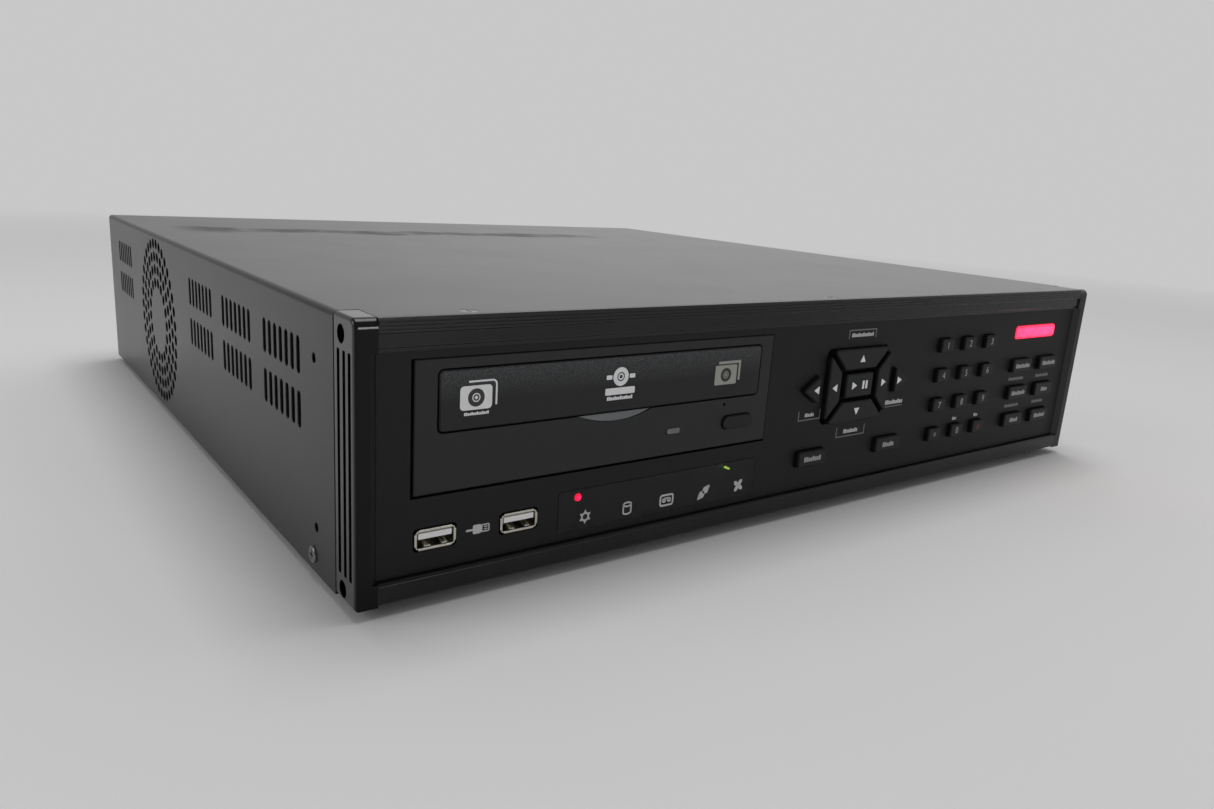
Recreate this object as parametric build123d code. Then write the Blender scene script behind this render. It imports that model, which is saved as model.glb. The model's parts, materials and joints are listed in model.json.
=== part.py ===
"""Two-unit digital video recorder with an optical drive, front keypad, fans and rear sockets.

Lengths are millimetres. u runs right from the left side face, v runs back from the front face,
and w runs up from the underside of the sheet-metal case. The model's origin is on the floor
under the middle of the whole recorder, with +X right, +Y back and +Z up.
"""

from build123d import *
import os
from math import cos, pi, sin

# ---- driving dimensions ----
WIDTH = 407.0
DEPTH = 406.0
HEIGHT = 88.0
FOOT_HEIGHT = 3.0
SOCKET_REACH = 10.0  # how far the rear video sockets stand out of the case
SHEET = 1.0
GAP = 0.3

# ---- front frame ----
CAP_WIDTH = 7.2
CAP_DEPTH = 15.0
CAP_BOTTOM = 0.6
CAP_CROWN = 3.0  # rounding of the cap's upper front edge
CAP_EDGE = 1.3
CAP_HOLE_DEPTH = 5.6
CAP_INNER_STEP = 4.2  # where the cap's face falls back to the panel
SIDE_START = 15.9  # the case's side walls start behind the end caps
FRAME_DEPTH = 16.0
RAIL_TOP = 7.8  # upper edge of the bottom rail
RECESS_TOP = 78.0  # lower edge of the ribbed top rail
PANEL_FRONT = 2.5
PANEL_BACK = 5.0
LIP_DEPTH = 1.8
POST_WIDTH = 7.0
EAR_HOLE_RADIUS = 2.8
EAR_HOLE_V = 9.7
EAR_HOLES_W = (4.4, 82.4)
CAP_SLOTS_V = (3.4, 7.5, 11.9)
CAP_SLOT = (2.1, 68.9, 4.0)  # width, height, depth
CAP_SLOT_W = 43.45
CAP_PANEL_GAP = 0.1
SHELF_V = 6.0  # back of the rails' inner shelves, where the posts start
RAIL_STEP = 0.8  # how far the top rail's lower band lies behind its face
BAND_W = (79.4, 83.2)
GROOVE = (0.3, 0.3)  # half height and depth of the top rail's fine grooves
GROOVES_W = (84.5, 85.6, 86.7)
SCREW_RELIEF_W = 81.0

# ---- keys ----
KEY_FRONT = 0.0
KEY_BACK = 6.3
KEY_FLANGE_FRONT = 5.3
KEY_FLANGE = 0.5
KEY_CLEARANCE = 0.35
KEY_EDGE = 0.5
PAD_U = 222.0
PAD_W = 51.0
PAD_CENTRE = (17.4, 10.2)
PAD_INNER = 6.1
PAD_REACH_W = 15.8
PAD_REACH_U = 20.0
PAD_SLIT = 1.9
PAD_SIDE_SLIT = 3.4
PAD_CORNER = 1.0
OUTER_KEY_BASE = 25.0
OUTER_KEY_TIP = 34.6
OUTER_KEY_HALF = 6.0
KEY_ROWS_W = (64.4, 50.2, 36.0, 21.6)
NUMBER_COLUMNS_U = (283.7, 302.0, 320.3)
NUMBER_KEY = (9.2, 6.2)
FUNCTION_COLUMNS_U = (352.9, 378.4)
FUNCTION_KEY = (16.8, 6.6)
LOWER_KEYS_U = (197.2, 248.0)
BOARD_FRONT = 9.5
BOARD_THICKNESS = 1.6
KEYPAD_BOARD = (180.0, 390.0, 10.0, 76.5)
LAMP_BOARD = (76.0, 190.0, 10.0, 29.0)
SWITCH_FRONT = 7.3
SWITCH = (6.0, 0.7, 1.6)  # body side, plunger travel, plunger radius

# ---- indicators and front sockets ----
WINDOW = (72.0, 165.4, 10.9, 25.7)
LED_COLUMNS_U = (83.3, 101.75, 120.2, 138.65, 157.1)
LED_W = 20.8
LED_RADIUS = 1.5
LED_FRONT = 6.6
LED_DOME = 1.2
LIGHT_BAR_U = 363.6
LIGHT_BAR_W = 67.1
LIGHT_BAR = (37.6, 6.6)
PROUD = 0.3  # how far the light bar and the sockets stand before the panel
USB_COLUMNS_U = (26.6, 56.5)
USB_W = 18.6
USB_OUTER = (13.1, 5.9)
USB_WALL = 0.35
USB_HOLE = (14.8, 7.8)  # the panel's hole round the socket and its flared lips
USB_LIP = 0.45  # how far each lip flares outwards
USB_LIP_SPAN = (11.2, 4.0)  # length of the long and the short lips
USB_DEPTH = 16.0
USB_TONGUE = (11.2, 1.9)
USB_TONGUE_DROP = 0.5  # between the shell and the tongue

# ---- optical drive ----
DRIVE_LEFT = 19.1
DRIVE_BOTTOM = 33.0
DRIVE_BEZEL = (149.4, 42.0)
DRIVE_GAPS = (1.0, 0.2, 0.8, 0.2)  # left, right, below and above the bezel
BEZEL_EDGE = 0.3
DRIVE_CASE = (146.0, 40.4, 168.0)
DRIVE_BEZEL_BACK = 7.6
DOOR = (27.0, 162.0, 52.2, 71.2)
DOOR_RADIUS = 1.5
DOOR_GAP = 0.55
DOOR_BACK = 6.0
DOOR_FRONT = 1.9
EJECT_CENTRE = (152.3, 42.2)
EJECT_SIZE = (15.4, 5.2)
EJECT_FRONT = 1.2
EJECT_BACK = 9.0
DRIVE_LED = (117.0, 123.0, 40.9, 42.9)
PINHOLE = (145.1, 49.4, 0.6)  # u, w, radius
SCOOP_U = 93.6
SCOOP_RADIUS = 45.5
SCOOP_RISE = 42.0  # from the door's lower edge to the crescent's centre
SCOOP_DEPTH = 0.7
TRAY = (31.0, 158.0, 55.6, 60.6)
TRAY_BACK = 150.0
DISC_RADIUS = 60.5
DISC_WELL = 2.0
SMALL_DISC = (41.0, 2.6)  # radius and depth of the well for an 8 cm disc
DISC_CENTRE_V = 76.0
TRAY_SLIT = (96.0, 36.0, 30.0)  # length, width, and centre behind the disc's
DECK = (33.0, 156.0, 24.0, 168.0, 36.0, 47.0)
HUB = (14.0, 54.6)  # radius, top
SLED = (32.0, 96.0, 122.0)  # width, front, back
CIRCUIT_COVER = (43.0, 146.0, 140.0, 166.0)
SLED_TOP = 53.0

# ---- side vents and fan ----
SLOT = (3.5, 12.3)
SLOT_PITCH = 6.0
SLOTS_IN_ROW = 7
SLOT_ROWS_W = (69.2, 51.3)
SLOT_GROUPS_V = (65.1, 120.2, 176.2, 355.8)
FAN_V = 268.1
FAN_W = 44.2
FAN_SIZE = 80.0
FAN_THICKNESS = 25.0
FAN_HOLE_SPACING = 71.5
GRILLE_RING_RADIUS = 19.4
GRILLE_RING_PITCH = 6.55
GRILLE_RINGS = 4
GRILLE_FIRST_COUNT = 18
GRILLE_STEP = 6
GRILLE_TWIST = 5.0  # degrees that each ring is turned from the one inside it
GRILLE_HOLE_RADIUS = 2.6
FAN_SWEEP = (38.0, 36.8)  # radii of the fan's duct and of its rotor
FAN_HUB = (15.5, 19.0)  # radius and height
FAN_BLADES = 7
FAN_BACK_GAP = 3.2
BLADE = (17.0, 1.4, 38.0)  # chord, thickness, angle
SIDE_HOLES_V = 32.4
SIDE_HOLES_W = (16.1, 71.0)
SIDE_HOLE_RADIUS = 1.65

# ---- screws ----
SCREW_RADIUS = 1.5
SCREW_CLEARANCE = 0.4
TOP_SCREWS_U = (38.4, WIDTH / 2, WIDTH - 38.4)
TOP_SCREW_V = 6.6
SIDE_SCREW_V = 35.7
SIDE_SCREW_W = 5.6
SCREW_HEAD = 0.7
SCREW_HEAD_RADIUS = 2.9
SINK_DEPTH = 1.0
SHANK = (0.7, 5.4)  # from the head's top, and length
CROSS = (3.2, 0.7, 0.6)  # length, width and depth of the driver's recess
FOLD_RADIUS = 2.0

# ---- inside and rear ----
DRIVE_BAY = (DRIVE_LEFT + 0.4, DRIVE_LEFT + DRIVE_BEZEL[0] - 0.4, 32.0, 76.0)
SOCKET_BAY = (18.0, 172.0, 9.0, 28.0)
KEYPAD_BAY = (182.0, 388.0, 9.0, 76.0)
FOOT_INSET = (35.0, 40.0)
FOOT_RADII = (7.5, 8.5)
BASE_FLANGE = 20.0
REAR_TOP = HEIGHT - SHEET - GAP
BNC_COLUMNS = 8
BNC_FIRST_U = 26.0
BNC_PITCH = 19.0
BNC_ROWS_W = (29.0, 53.0)
BNC_RADIUS = 4.8
BNC_BORE = 4.05
BNC_PIN_RADIUS = 1.3
BNC_HOUSING = (14.4, 17.0, 61.0)  # width, depth, upper edge
MAIN_BOARD = (12.0, 284.0, 215.0, 400.0)
MAIN_BOARD_W = 7.0
STANDOFFS_U = (40.0, 148.0, 276.0)
STANDOFFS_V = (223.0, 380.0)
STANDOFF_RADIUS = 3.0
WALL_LEFT = SHEET + GAP + SHEET  # the chassis walls stand between its side flanges
HARD_DISK = (200.0, 301.6, 45.0, 192.0, 6.0, 32.1)
DISK_LID = (206.0, 295.6, 52.0, 160.0)
DISK_LID_HEIGHT = 0.8
DISK_RAILS_U = (203.0, 294.6)
DISK_RAIL = (4.0, 60.0, 180.0)  # width, front, back
CHIPS = ((60.0, 250.0, 28.0), (60.0, 300.0, 28.0), (110.0, 250.0, 20.0), (230.0, 260.0, 24.0),
         (200.0, 330.0, 18.0))  # u, v and side of each
CHIP_HEIGHT = 2.4
CARD_SLOTS = (250.0, 7.0, 3.0, 330.0, 370.0, 9.0)  # first u, pitch, width, front, back, height
SINK = (148.0, 188.0, 250.0, 290.0)
SINK_INSET = 4.0
SINK_BASE = 3.0
SINK_FINS = (9, 1.6, 17.6)  # count, thickness and height over the board
PORT_BLOCK = (190.0, 262.0, 384.0, 8.6, 40.0)
PORT_FACE = (192.4, 259.6, 11.0, 37.6)
PORT_FACE_REACH = 0.8
PORT_HOLE = (192.0, 260.0, 10.6, 38.0)
NETWORK_PORT = (203.0, 11.8, 8.2, 13.0)  # centre u, width, height, depth
NETWORK_FLOOR = 13.0
MONITOR_PORT = ((221.0, 30.5), (238.4, 30.5), (239.6, 22.6), (219.8, 22.6))
MONITOR_DEPTH = 6.0
AUDIO_JACKS_U = 251.5
AUDIO_JACKS_W = (17.0, 31.0)
AUDIO_JACK_COLLAR = 3.6
AUDIO_JACK_RADIUS = 1.8
AUDIO_JACK_DEPTH = 14.0
SUPPLY = (292.0, 398.0, 268.0, 404.6, 3.0, 66.0)
SUPPLY_FAN_U = 372.0
SUPPLY_FAN_W = 40.0
SUPPLY_HOLE_INSET = 4.0
SUPPLY_ROTOR = (18.0, 7.5, 12.0)  # radius, hub radius, height
SUPPLY_ROTOR_GAP = 3.0
SUPPLY_RINGS = (7.0, 11.5, 16.0)
SUPPLY_RING_HALF = 1.4
SUPPLY_BAR = (60.0, 2.0)
INLET_U = 318.0
INLET_W = 46.0
INLET = (28.0, 20.0, 20.0)  # width, height, depth
INLET_REACH = 0.9
INLET_CAVITY = ((-12.2, -8.2), (12.2, -8.2), (12.2, 4.0), (8.0, 8.2), (-8.0, 8.2), (-12.2, 4.0))
INLET_CAVITY_DEPTH = 15.0
INLET_PINS = ((0.0, 3.6), (-7.0, -2.4), (7.0, -2.4))
INLET_PIN = (2.0, 4.0)
ROCKER_W = 19.0
ROCKER = (20.6, 13.2, 5.5)  # length, height, depth
ROCKER_RISE = 0.6
ROCKER_KEEL = 8.0
ROCKER_SEAT = 0.2
ROCKER_TILT = 7.0

FRONT_Y = -(DEPTH + SOCKET_REACH) / 2
LEFT_X = -WIDTH / 2


# ---- placing ----
def block(u0, u1, v0, v1, w0, w1):
    """A box between two corners."""
    centre = Pos(LEFT_X + (u0 + u1) / 2, FRONT_Y + (v0 + v1) / 2, FOOT_HEIGHT + (w0 + w1) / 2)
    return centre * Box(u1 - u0, v1 - v0, w1 - w0)


def front_prism(sketch, v0, v1):
    """A sketch drawn in (u, w), pushed back from v0 to v1."""
    plane = Plane((LEFT_X, FRONT_Y + v0, FOOT_HEIGHT), x_dir=(1, 0, 0), z_dir=(0, -1, 0))
    return extrude(plane * sketch, amount=-(v1 - v0))


def side_prism(sketch, u0, u1):
    """A sketch drawn in (v, w), pushed right from u0 to u1."""
    plane = Plane((LEFT_X + u0, FRONT_Y, FOOT_HEIGHT), x_dir=(0, 1, 0), z_dir=(1, 0, 0))
    return extrude(plane * sketch, amount=u1 - u0)


def floor_prism(sketch, w0, w1):
    """A sketch drawn in (u, v), raised from w0 to w1."""
    plane = Plane((LEFT_X, FRONT_Y, FOOT_HEIGHT + w0), x_dir=(1, 0, 0), z_dir=(0, 0, 1))
    return extrude(plane * sketch, amount=w1 - w0)


def disc(u, w, radius):
    return Pos(u, w) * Circle(radius)


def rounded(u0, u1, w0, w1, radius):
    middle = Pos((u0 + u1) / 2, (w0 + w1) / 2)
    return middle * RectangleRounded(u1 - u0, w1 - w0, radius)


def outline(*points):
    return make_face(Polyline(*points, close=True))


def mirrored(shape):
    return mirror(shape, about=Plane.YZ)


def save(shape, node):
    export_step(shape, f"parts/{node}.step")


# ---- case ----
def grille_sketch():
    """Round holes in rings about the fan's axis, each ring with more holes and turned a little."""
    holes = Sketch()
    for ring in range(GRILLE_RINGS):
        radius = GRILLE_RING_RADIUS + ring * GRILLE_RING_PITCH
        count = GRILLE_FIRST_COUNT + ring * GRILLE_STEP
        for k in range(count):
            angle = 2 * pi * k / count - ring * GRILLE_TWIST * pi / 180
            holes += disc(FAN_V + radius * cos(angle), FAN_W + radius * sin(angle), GRILLE_HOLE_RADIUS)
    return holes


def slots_sketch():
    slots = Sketch()
    for group in SLOT_GROUPS_V:
        for row in SLOT_ROWS_W:
            for k in range(SLOTS_IN_ROW):
                v = group + (k - (SLOTS_IN_ROW - 1) / 2) * SLOT_PITCH
                slots += Pos(v, row) * SlotOverall(SLOT[1], SLOT[0], rotation=90)
    return slots


def side_fixing_sketch():
    holes = Sketch() + disc(SIDE_SCREW_V, SIDE_SCREW_W, SCREW_RADIUS + 0.2)
    for w in SIDE_HOLES_W:
        holes += disc(SIDE_HOLES_V, w, SIDE_HOLE_RADIUS)
    return holes


def countersink(u, v, radius, depth, top):
    """A cone that narrows downwards from the radius at height top."""
    cone = Cone(radius - depth, radius, depth)
    return Pos(LEFT_X + u, FRONT_Y + v, FOOT_HEIGHT + top - depth / 2) * cone


def top_cover():
    """One folded sheet: top and both sides, with vents and a tongue over the front frame."""
    outer = rounded(0, WIDTH, -HEIGHT, HEIGHT, FOLD_RADIUS)
    inner = rounded(SHEET, WIDTH - SHEET, -HEIGHT, HEIGHT - SHEET, FOLD_RADIUS - SHEET)
    below = Pos(WIDTH / 2, -HEIGHT / 2) * Rectangle(WIDTH + 2, HEIGHT)
    cover = front_prism(outer - inner - below, SIDE_START, DEPTH)
    cover += block(CAP_WIDTH + GAP, WIDTH - CAP_WIDTH - GAP, LIP_DEPTH + 0.2, SIDE_START,
                   HEIGHT - SHEET, HEIGHT)
    side_holes = slots_sketch() + side_fixing_sketch()
    cover -= side_prism(side_holes + grille_sketch(), -1, SHEET + 1)
    cover -= side_prism(side_holes, WIDTH - SHEET - 1, WIDTH + 1)
    for u in TOP_SCREWS_U:
        cover -= countersink(u, TOP_SCREW_V, SCREW_HEAD_RADIUS, SINK_DEPTH, HEIGHT)
        cover -= floor_prism(disc(u, TOP_SCREW_V, SCREW_RADIUS + SCREW_CLEARANCE), HEIGHT - 2, HEIGHT)
    return cover


def base_chassis():
    """Folded tray: floor, low side flanges, pierced front wall and full rear wall."""
    left = SHEET + GAP
    right = WIDTH - SHEET - GAP
    back = DEPTH
    tray = block(left, right, FRAME_DEPTH, back, 0, SHEET)
    for u0 in (left, right - SHEET):
        tray += block(u0, u0 + SHEET, FRAME_DEPTH, back, 0, BASE_FLANGE)
    screw_holes = disc(SIDE_HOLES_V, SIDE_HOLES_W[0], SIDE_HOLE_RADIUS + SCREW_CLEARANCE)
    screw_holes += disc(SIDE_SCREW_V, SIDE_SCREW_W, SCREW_RADIUS + 0.1)
    tray -= side_prism(screw_holes, 0, WALL_LEFT + 1)
    tray -= side_prism(screw_holes, WIDTH - WALL_LEFT - 1, WIDTH)
    for u in STANDOFFS_U:
        for v in STANDOFFS_V:
            tray += floor_prism(disc(u, v, STANDOFF_RADIUS), SHEET, MAIN_BOARD_W)
    return Compound([tray.solid(), front_wall().solid(), rear_wall().solid()])


def front_wall():
    """The chassis wall behind the front frame, open for the drive, the front sockets and the keypad."""
    face = rounded(WALL_LEFT, WIDTH - WALL_LEFT, SHEET, REAR_TOP, 0.5)
    for bay in (DRIVE_BAY, SOCKET_BAY, KEYPAD_BAY):
        face -= rounded(*bay, 0.5)
    return front_prism(face, FRAME_DEPTH, FRAME_DEPTH + SHEET)


def rear_wall():
    """The chassis wall that the rear sockets and the power supply come through."""
    face = rounded(WALL_LEFT, WIDTH - WALL_LEFT, SHEET, REAR_TOP, 0.5)
    return front_prism(face - rear_openings(), DEPTH - SHEET, DEPTH)


def rear_openings():
    holes = Sketch()
    for u, w in bnc_places():
        holes += disc(u, w, BNC_RADIUS + 0.5)
    inset = SUPPLY_HOLE_INSET
    holes += rounded(*PORT_HOLE, 0.8)
    holes += rounded(SUPPLY[0] + inset, SUPPLY[1] - inset, SUPPLY[4] + inset, SUPPLY[5] - inset, 2.0)
    return holes


def feet():
    pads = Part()
    for u in (FOOT_INSET[0], WIDTH - FOOT_INSET[0]):
        for v in (FOOT_INSET[1], DEPTH - FOOT_INSET[1]):
            pads += Pos(LEFT_X + u, FRONT_Y + v, FOOT_HEIGHT / 2) * Cone(*FOOT_RADII, FOOT_HEIGHT)
    return pads


def screw(head_flat):
    """A screw along +Z with its head's top at the origin."""
    length, width, depth = CROSS
    cross = Box(length, width, 2 * depth) + Box(width, length, 2 * depth)
    shank = Pos(0, 0, -SHANK[0] - SHANK[1] / 2) * Cylinder(SCREW_RADIUS, SHANK[1])
    if head_flat:
        radius = SCREW_HEAD_RADIUS - 0.15
        head = Pos(0, 0, -SINK_DEPTH / 2) * Cone(radius - SINK_DEPTH, radius, SINK_DEPTH - 0.04)
        return head + shank - cross
    head = Pos(0, 0, -SCREW_HEAD / 2) * Cylinder(SCREW_HEAD_RADIUS, SCREW_HEAD)
    head = chamfer(head.faces().sort_by(Axis.Z)[-1].edges(), 0.3)
    return head + shank - cross


def cover_screws():
    group = Part()
    for u in TOP_SCREWS_U:
        group += Pos(LEFT_X + u, FRONT_Y + TOP_SCREW_V, FOOT_HEIGHT + HEIGHT - 0.05) * screw(True)
    place = (FRONT_Y + SIDE_SCREW_V, FOOT_HEIGHT + SIDE_SCREW_W)
    group += Pos(LEFT_X - SCREW_HEAD, *place) * Rot(0, -90, 0) * screw(False)
    group += Pos(-LEFT_X + SCREW_HEAD, *place) * Rot(0, 90, 0) * screw(False)
    return group


# ---- front ----
def top_rail_sketch():
    """The top rail's section in (v, w): fine grooves along its face over a lower band."""
    grooves = []
    for w in GROOVES_W:
        grooves += [(0.0, w - GROOVE[0]), (GROOVE[1], w), (0.0, w + GROOVE[0])]
    back = FRAME_DEPTH
    top = HEIGHT - SHEET
    shelf = RECESS_TOP + 0.4
    return outline(
        (0.5, HEIGHT), (LIP_DEPTH, HEIGHT), (LIP_DEPTH, top), (back, top), (back, shelf), (SHELF_V, shelf),
        (SHELF_V, RECESS_TOP), (RAIL_STEP + 0.5, RECESS_TOP), (RAIL_STEP + 0.5, BAND_W[0] - 0.5),
        (RAIL_STEP, BAND_W[0]), (RAIL_STEP, BAND_W[1]), (0.0, BAND_W[1] + 0.5), *grooves, (0.0, HEIGHT - 0.5))


def bottom_rail_sketch():
    """The bottom rail's section in (v, w), with a sloping upper front edge."""
    low = CAP_BOTTOM + 0.4
    shelf = RAIL_TOP - 0.6
    return outline(
        (0.0, low + 0.6), (0.0, RAIL_TOP - 0.7), (0.7, RAIL_TOP), (SHELF_V, RAIL_TOP), (SHELF_V, shelf),
        (FRAME_DEPTH, shelf), (FRAME_DEPTH, low), (0.6, low))


def front_frame():
    """Ribbed top rail, bottom rail and the posts that join them behind the end caps."""
    left = CAP_WIDTH
    right = WIDTH - CAP_WIDTH
    frame = side_prism(top_rail_sketch(), left, right) + side_prism(bottom_rail_sketch(), left, right)
    for u0 in (left, right - POST_WIDTH):
        frame += block(u0, u0 + POST_WIDTH, SHELF_V, FRAME_DEPTH, CAP_BOTTOM + 1, HEIGHT - 2)
    for u in TOP_SCREWS_U:
        hole = disc(u, TOP_SCREW_V, SCREW_RADIUS + SCREW_CLEARANCE)
        frame -= floor_prism(hole, SCREW_RELIEF_W, HEIGHT)
    return frame


def left_end_cap():
    """Moulded end of the frame, with two fixing holes and three long slots in its side."""
    cap = block(0, CAP_WIDTH, 0, CAP_DEPTH, CAP_BOTTOM, HEIGHT)
    crown = cap.faces().sort_by(Axis.Y)[0].edges().sort_by(Axis.Z)[-1]
    cap = fillet(crown, CAP_CROWN)
    outer_edges = [e for e in cap.faces().sort_by(Axis.X)[0].edges() if not on_back(e)]
    cap = fillet(outer_edges, CAP_EDGE)
    step = outline((CAP_INNER_STEP, -1), (CAP_WIDTH + 1, -1), (CAP_WIDTH + 1, PANEL_FRONT),
                   (CAP_WIDTH, PANEL_FRONT))
    cap -= floor_prism(step, RAIL_TOP, RECESS_TOP)
    holes = Sketch()
    for w in EAR_HOLES_W:
        holes += disc(EAR_HOLE_V, w, EAR_HOLE_RADIUS)
    cap -= side_prism(holes, -1, CAP_HOLE_DEPTH)
    slots = Sketch()
    for v in CAP_SLOTS_V:
        slots += Pos(v, CAP_SLOT_W) * RectangleRounded(CAP_SLOT[0], CAP_SLOT[1], 0.5)
    return cap - side_prism(slots, -1, CAP_SLOT[2])


def on_back(edge):
    """Whether an edge of the cap lies in its rear face."""
    return edge.center().Y > FRONT_Y + CAP_DEPTH - 0.01


def pad_outlines():
    """The navigation keys' outlines in (u, w), by name."""
    half_u = PAD_CENTRE[0] / 2
    half_w = PAD_CENTRE[1] / 2
    side_u = half_u + PAD_SIDE_SLIT
    corner = PAD_REACH_U - side_u
    top_low = half_w + PAD_SLIT
    spread = PAD_REACH_W - top_low
    near = half_u + PAD_CORNER
    far = half_u + spread
    trapezoid = [(-near, top_low), (near, top_low), (far, PAD_REACH_W - PAD_CORNER),
                 (far - PAD_CORNER, PAD_REACH_W), (PAD_CORNER - far, PAD_REACH_W),
                 (-far, PAD_REACH_W - PAD_CORNER)]
    wing = [(side_u, -PAD_INNER), (PAD_REACH_U, -PAD_INNER - corner),
            (PAD_REACH_U, PAD_INNER + corner), (side_u, PAD_INNER)]
    arrow = [(OUTER_KEY_BASE, -OUTER_KEY_HALF), (OUTER_KEY_TIP, 0), (OUTER_KEY_BASE, OUTER_KEY_HALF)]
    centre = [(-half_u, -half_w), (half_u, -half_w), (half_u, half_w), (-half_u, half_w)]
    shapes = {
        "key_up": trapezoid,
        "key_down": [(u, -w) for u, w in trapezoid],
        "key_right": wing,
        "key_left": [(-u, w) for u, w in wing],
        "key_forward": arrow,
        "key_rewind": [(-u, w) for u, w in arrow],
        "key_play": centre,
    }
    return {name: [(PAD_U + u, PAD_W + w) for u, w in points] for name, points in shapes.items()}


def pad_opening():
    """The panel's single opening for the five keys of the navigation pad."""
    reach_u = PAD_REACH_U + KEY_CLEARANCE
    reach_w = PAD_REACH_W + KEY_CLEARANCE
    side_w = PAD_INNER + PAD_REACH_U - PAD_CENTRE[0] / 2 - PAD_SIDE_SLIT + KEY_CLEARANCE
    top_u = reach_u + side_w - reach_w
    quarter = [(reach_u, side_w), (top_u, reach_w)]
    points = quarter + [(-u, w) for u, w in reversed(quarter)]
    points += [(-u, -w) for u, w in quarter] + [(u, -w) for u, w in reversed(quarter)]
    return Pos(PAD_U, PAD_W) * outline(*points)


def key_sketches():
    """Every front key's face by name."""
    keys = {}
    for name, points in pad_outlines().items():
        face = outline(*points)
        keys[name] = fillet(face.vertices(), 0.6)
    wide = RectangleRounded(*FUNCTION_KEY, 0.9)
    narrow = RectangleRounded(*NUMBER_KEY, 0.9)
    for name, u in zip(("key_enter", "key_exit"), LOWER_KEYS_U):
        keys[name] = Pos(u, KEY_ROWS_W[-1]) * wide
    names = ("1", "2", "3", "4", "5", "6", "7", "8", "9", "star", "0", "hash")
    for k, name in enumerate(names):
        place = Pos(NUMBER_COLUMNS_U[k % 3], KEY_ROWS_W[k // 3])
        keys[f"key_number_{name}"] = place * narrow
    for k in range(6):
        place = Pos(FUNCTION_COLUMNS_U[k % 2], KEY_ROWS_W[1 + k // 2])
        keys[f"key_function_{k + 1}"] = place * wide
    return keys


def key_solid(face):
    """A key cap that passes through the panel, with a flange that holds it in from behind."""
    cap = front_prism(face, KEY_FRONT, KEY_BACK)
    cap = chamfer(cap.faces().sort_by(Axis.Y)[0].edges(), KEY_EDGE)
    flange = offset(face, KEY_FLANGE, kind=Kind.INTERSECTION)
    return cap + front_prism(flange, KEY_FLANGE_FRONT, KEY_BACK)


def front_panel(keys):
    """The recessed plate, pierced for the drive, keys, sockets, window and light bar."""
    u0 = CAP_WIDTH + CAP_PANEL_GAP
    plate = rounded(u0, WIDTH - u0, RAIL_TOP + 0.2, RECESS_TOP - 0.2, 0.3)
    right = DRIVE_LEFT + DRIVE_BEZEL[0]
    top = DRIVE_BOTTOM + DRIVE_BEZEL[1]
    left_gap, right_gap, low_gap, high_gap = DRIVE_GAPS
    plate -= rounded(DRIVE_LEFT - left_gap, right + right_gap, DRIVE_BOTTOM - low_gap, top + high_gap, 0.4)
    plate -= pad_opening()
    plate -= rounded(WINDOW[0] - 0.15, WINDOW[1] + 0.15, WINDOW[2] - 0.15, WINDOW[3] + 0.15, 1.15)
    plate -= Pos(LIGHT_BAR_U, LIGHT_BAR_W) * RectangleRounded(LIGHT_BAR[0] + GAP, LIGHT_BAR[1] + GAP, 2.1)
    for u in USB_COLUMNS_U:
        plate -= Pos(u, USB_W) * RectangleRounded(*USB_HOLE, 1.6)
    for face in keys.values():
        plate -= offset(face, KEY_CLEARANCE, kind=Kind.INTERSECTION)
    return front_prism(plate, PANEL_FRONT, PANEL_BACK)


def indicator_window():
    return front_prism(rounded(*WINDOW, 1.0), PANEL_FRONT - 0.1, PANEL_BACK)


def indicator_leds():
    group = Part()
    for u in LED_COLUMNS_U:
        lamp = front_prism(disc(u, LED_W, LED_RADIUS), LED_FRONT, BOARD_FRONT)
        group += fillet(lamp.faces().sort_by(Axis.Y)[0].edges(), LED_DOME)
    return group


def light_bar():
    face = Pos(LIGHT_BAR_U, LIGHT_BAR_W) * RectangleRounded(*LIGHT_BAR, 2.0)
    bar = front_prism(face, PANEL_FRONT - PROUD, PANEL_BACK + 2.0)
    return chamfer(bar.faces().sort_by(Axis.Y)[0].edges(), 0.3)


def keypad_board(keys):
    """The board behind the keys, with a press switch for each key soldered on it."""
    plate = rounded(*KEYPAD_BOARD, 1.0) + rounded(*LAMP_BOARD, 1.0)
    board = front_prism(plate, BOARD_FRONT, BOARD_FRONT + BOARD_THICKNESS)
    side, travel, radius = SWITCH
    for face in keys.values():
        u, w = face.center().X, face.center().Y
        board += front_prism(Pos(u, w) * Rectangle(side, side), SWITCH_FRONT + travel, BOARD_FRONT)
        board += front_prism(disc(u, w, radius), SWITCH_FRONT, SWITCH_FRONT + travel)
    return board


def usb_shells():
    group = Part()
    for u in USB_COLUMNS_U:
        place = Pos(u, USB_W)
        outer = place * RectangleRounded(*USB_OUTER, 0.6)
        hole = place * RectangleRounded(USB_OUTER[0] - 2 * USB_WALL, USB_OUTER[1] - 2 * USB_WALL, 0.3)
        shell = front_prism(outer, PANEL_FRONT - PROUD, USB_DEPTH) + usb_lips(place)
        group += shell - front_prism(hole, 0, USB_DEPTH - USB_WALL)
    return group


def usb_lips(place):
    """Four short lips that flare out of the shell's mouth, in the panel's hole."""
    long_lip = Rectangle(USB_LIP_SPAN[0], USB_OUTER[1] + 2 * USB_LIP)
    short_lip = Rectangle(USB_OUTER[0] + 2 * USB_LIP, USB_LIP_SPAN[1])
    mouth = PANEL_FRONT - PROUD
    return front_prism(place * (long_lip + short_lip), mouth, mouth + USB_WALL)


def usb_tongues():
    group = Part()
    half = USB_TONGUE[0] / 2
    top = USB_W + USB_OUTER[1] / 2 - USB_WALL - USB_TONGUE_DROP
    for u in USB_COLUMNS_U:
        group += block(u - half, u + half, PANEL_FRONT, USB_DEPTH - USB_WALL, top - USB_TONGUE[1], top)
    return group


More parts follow.
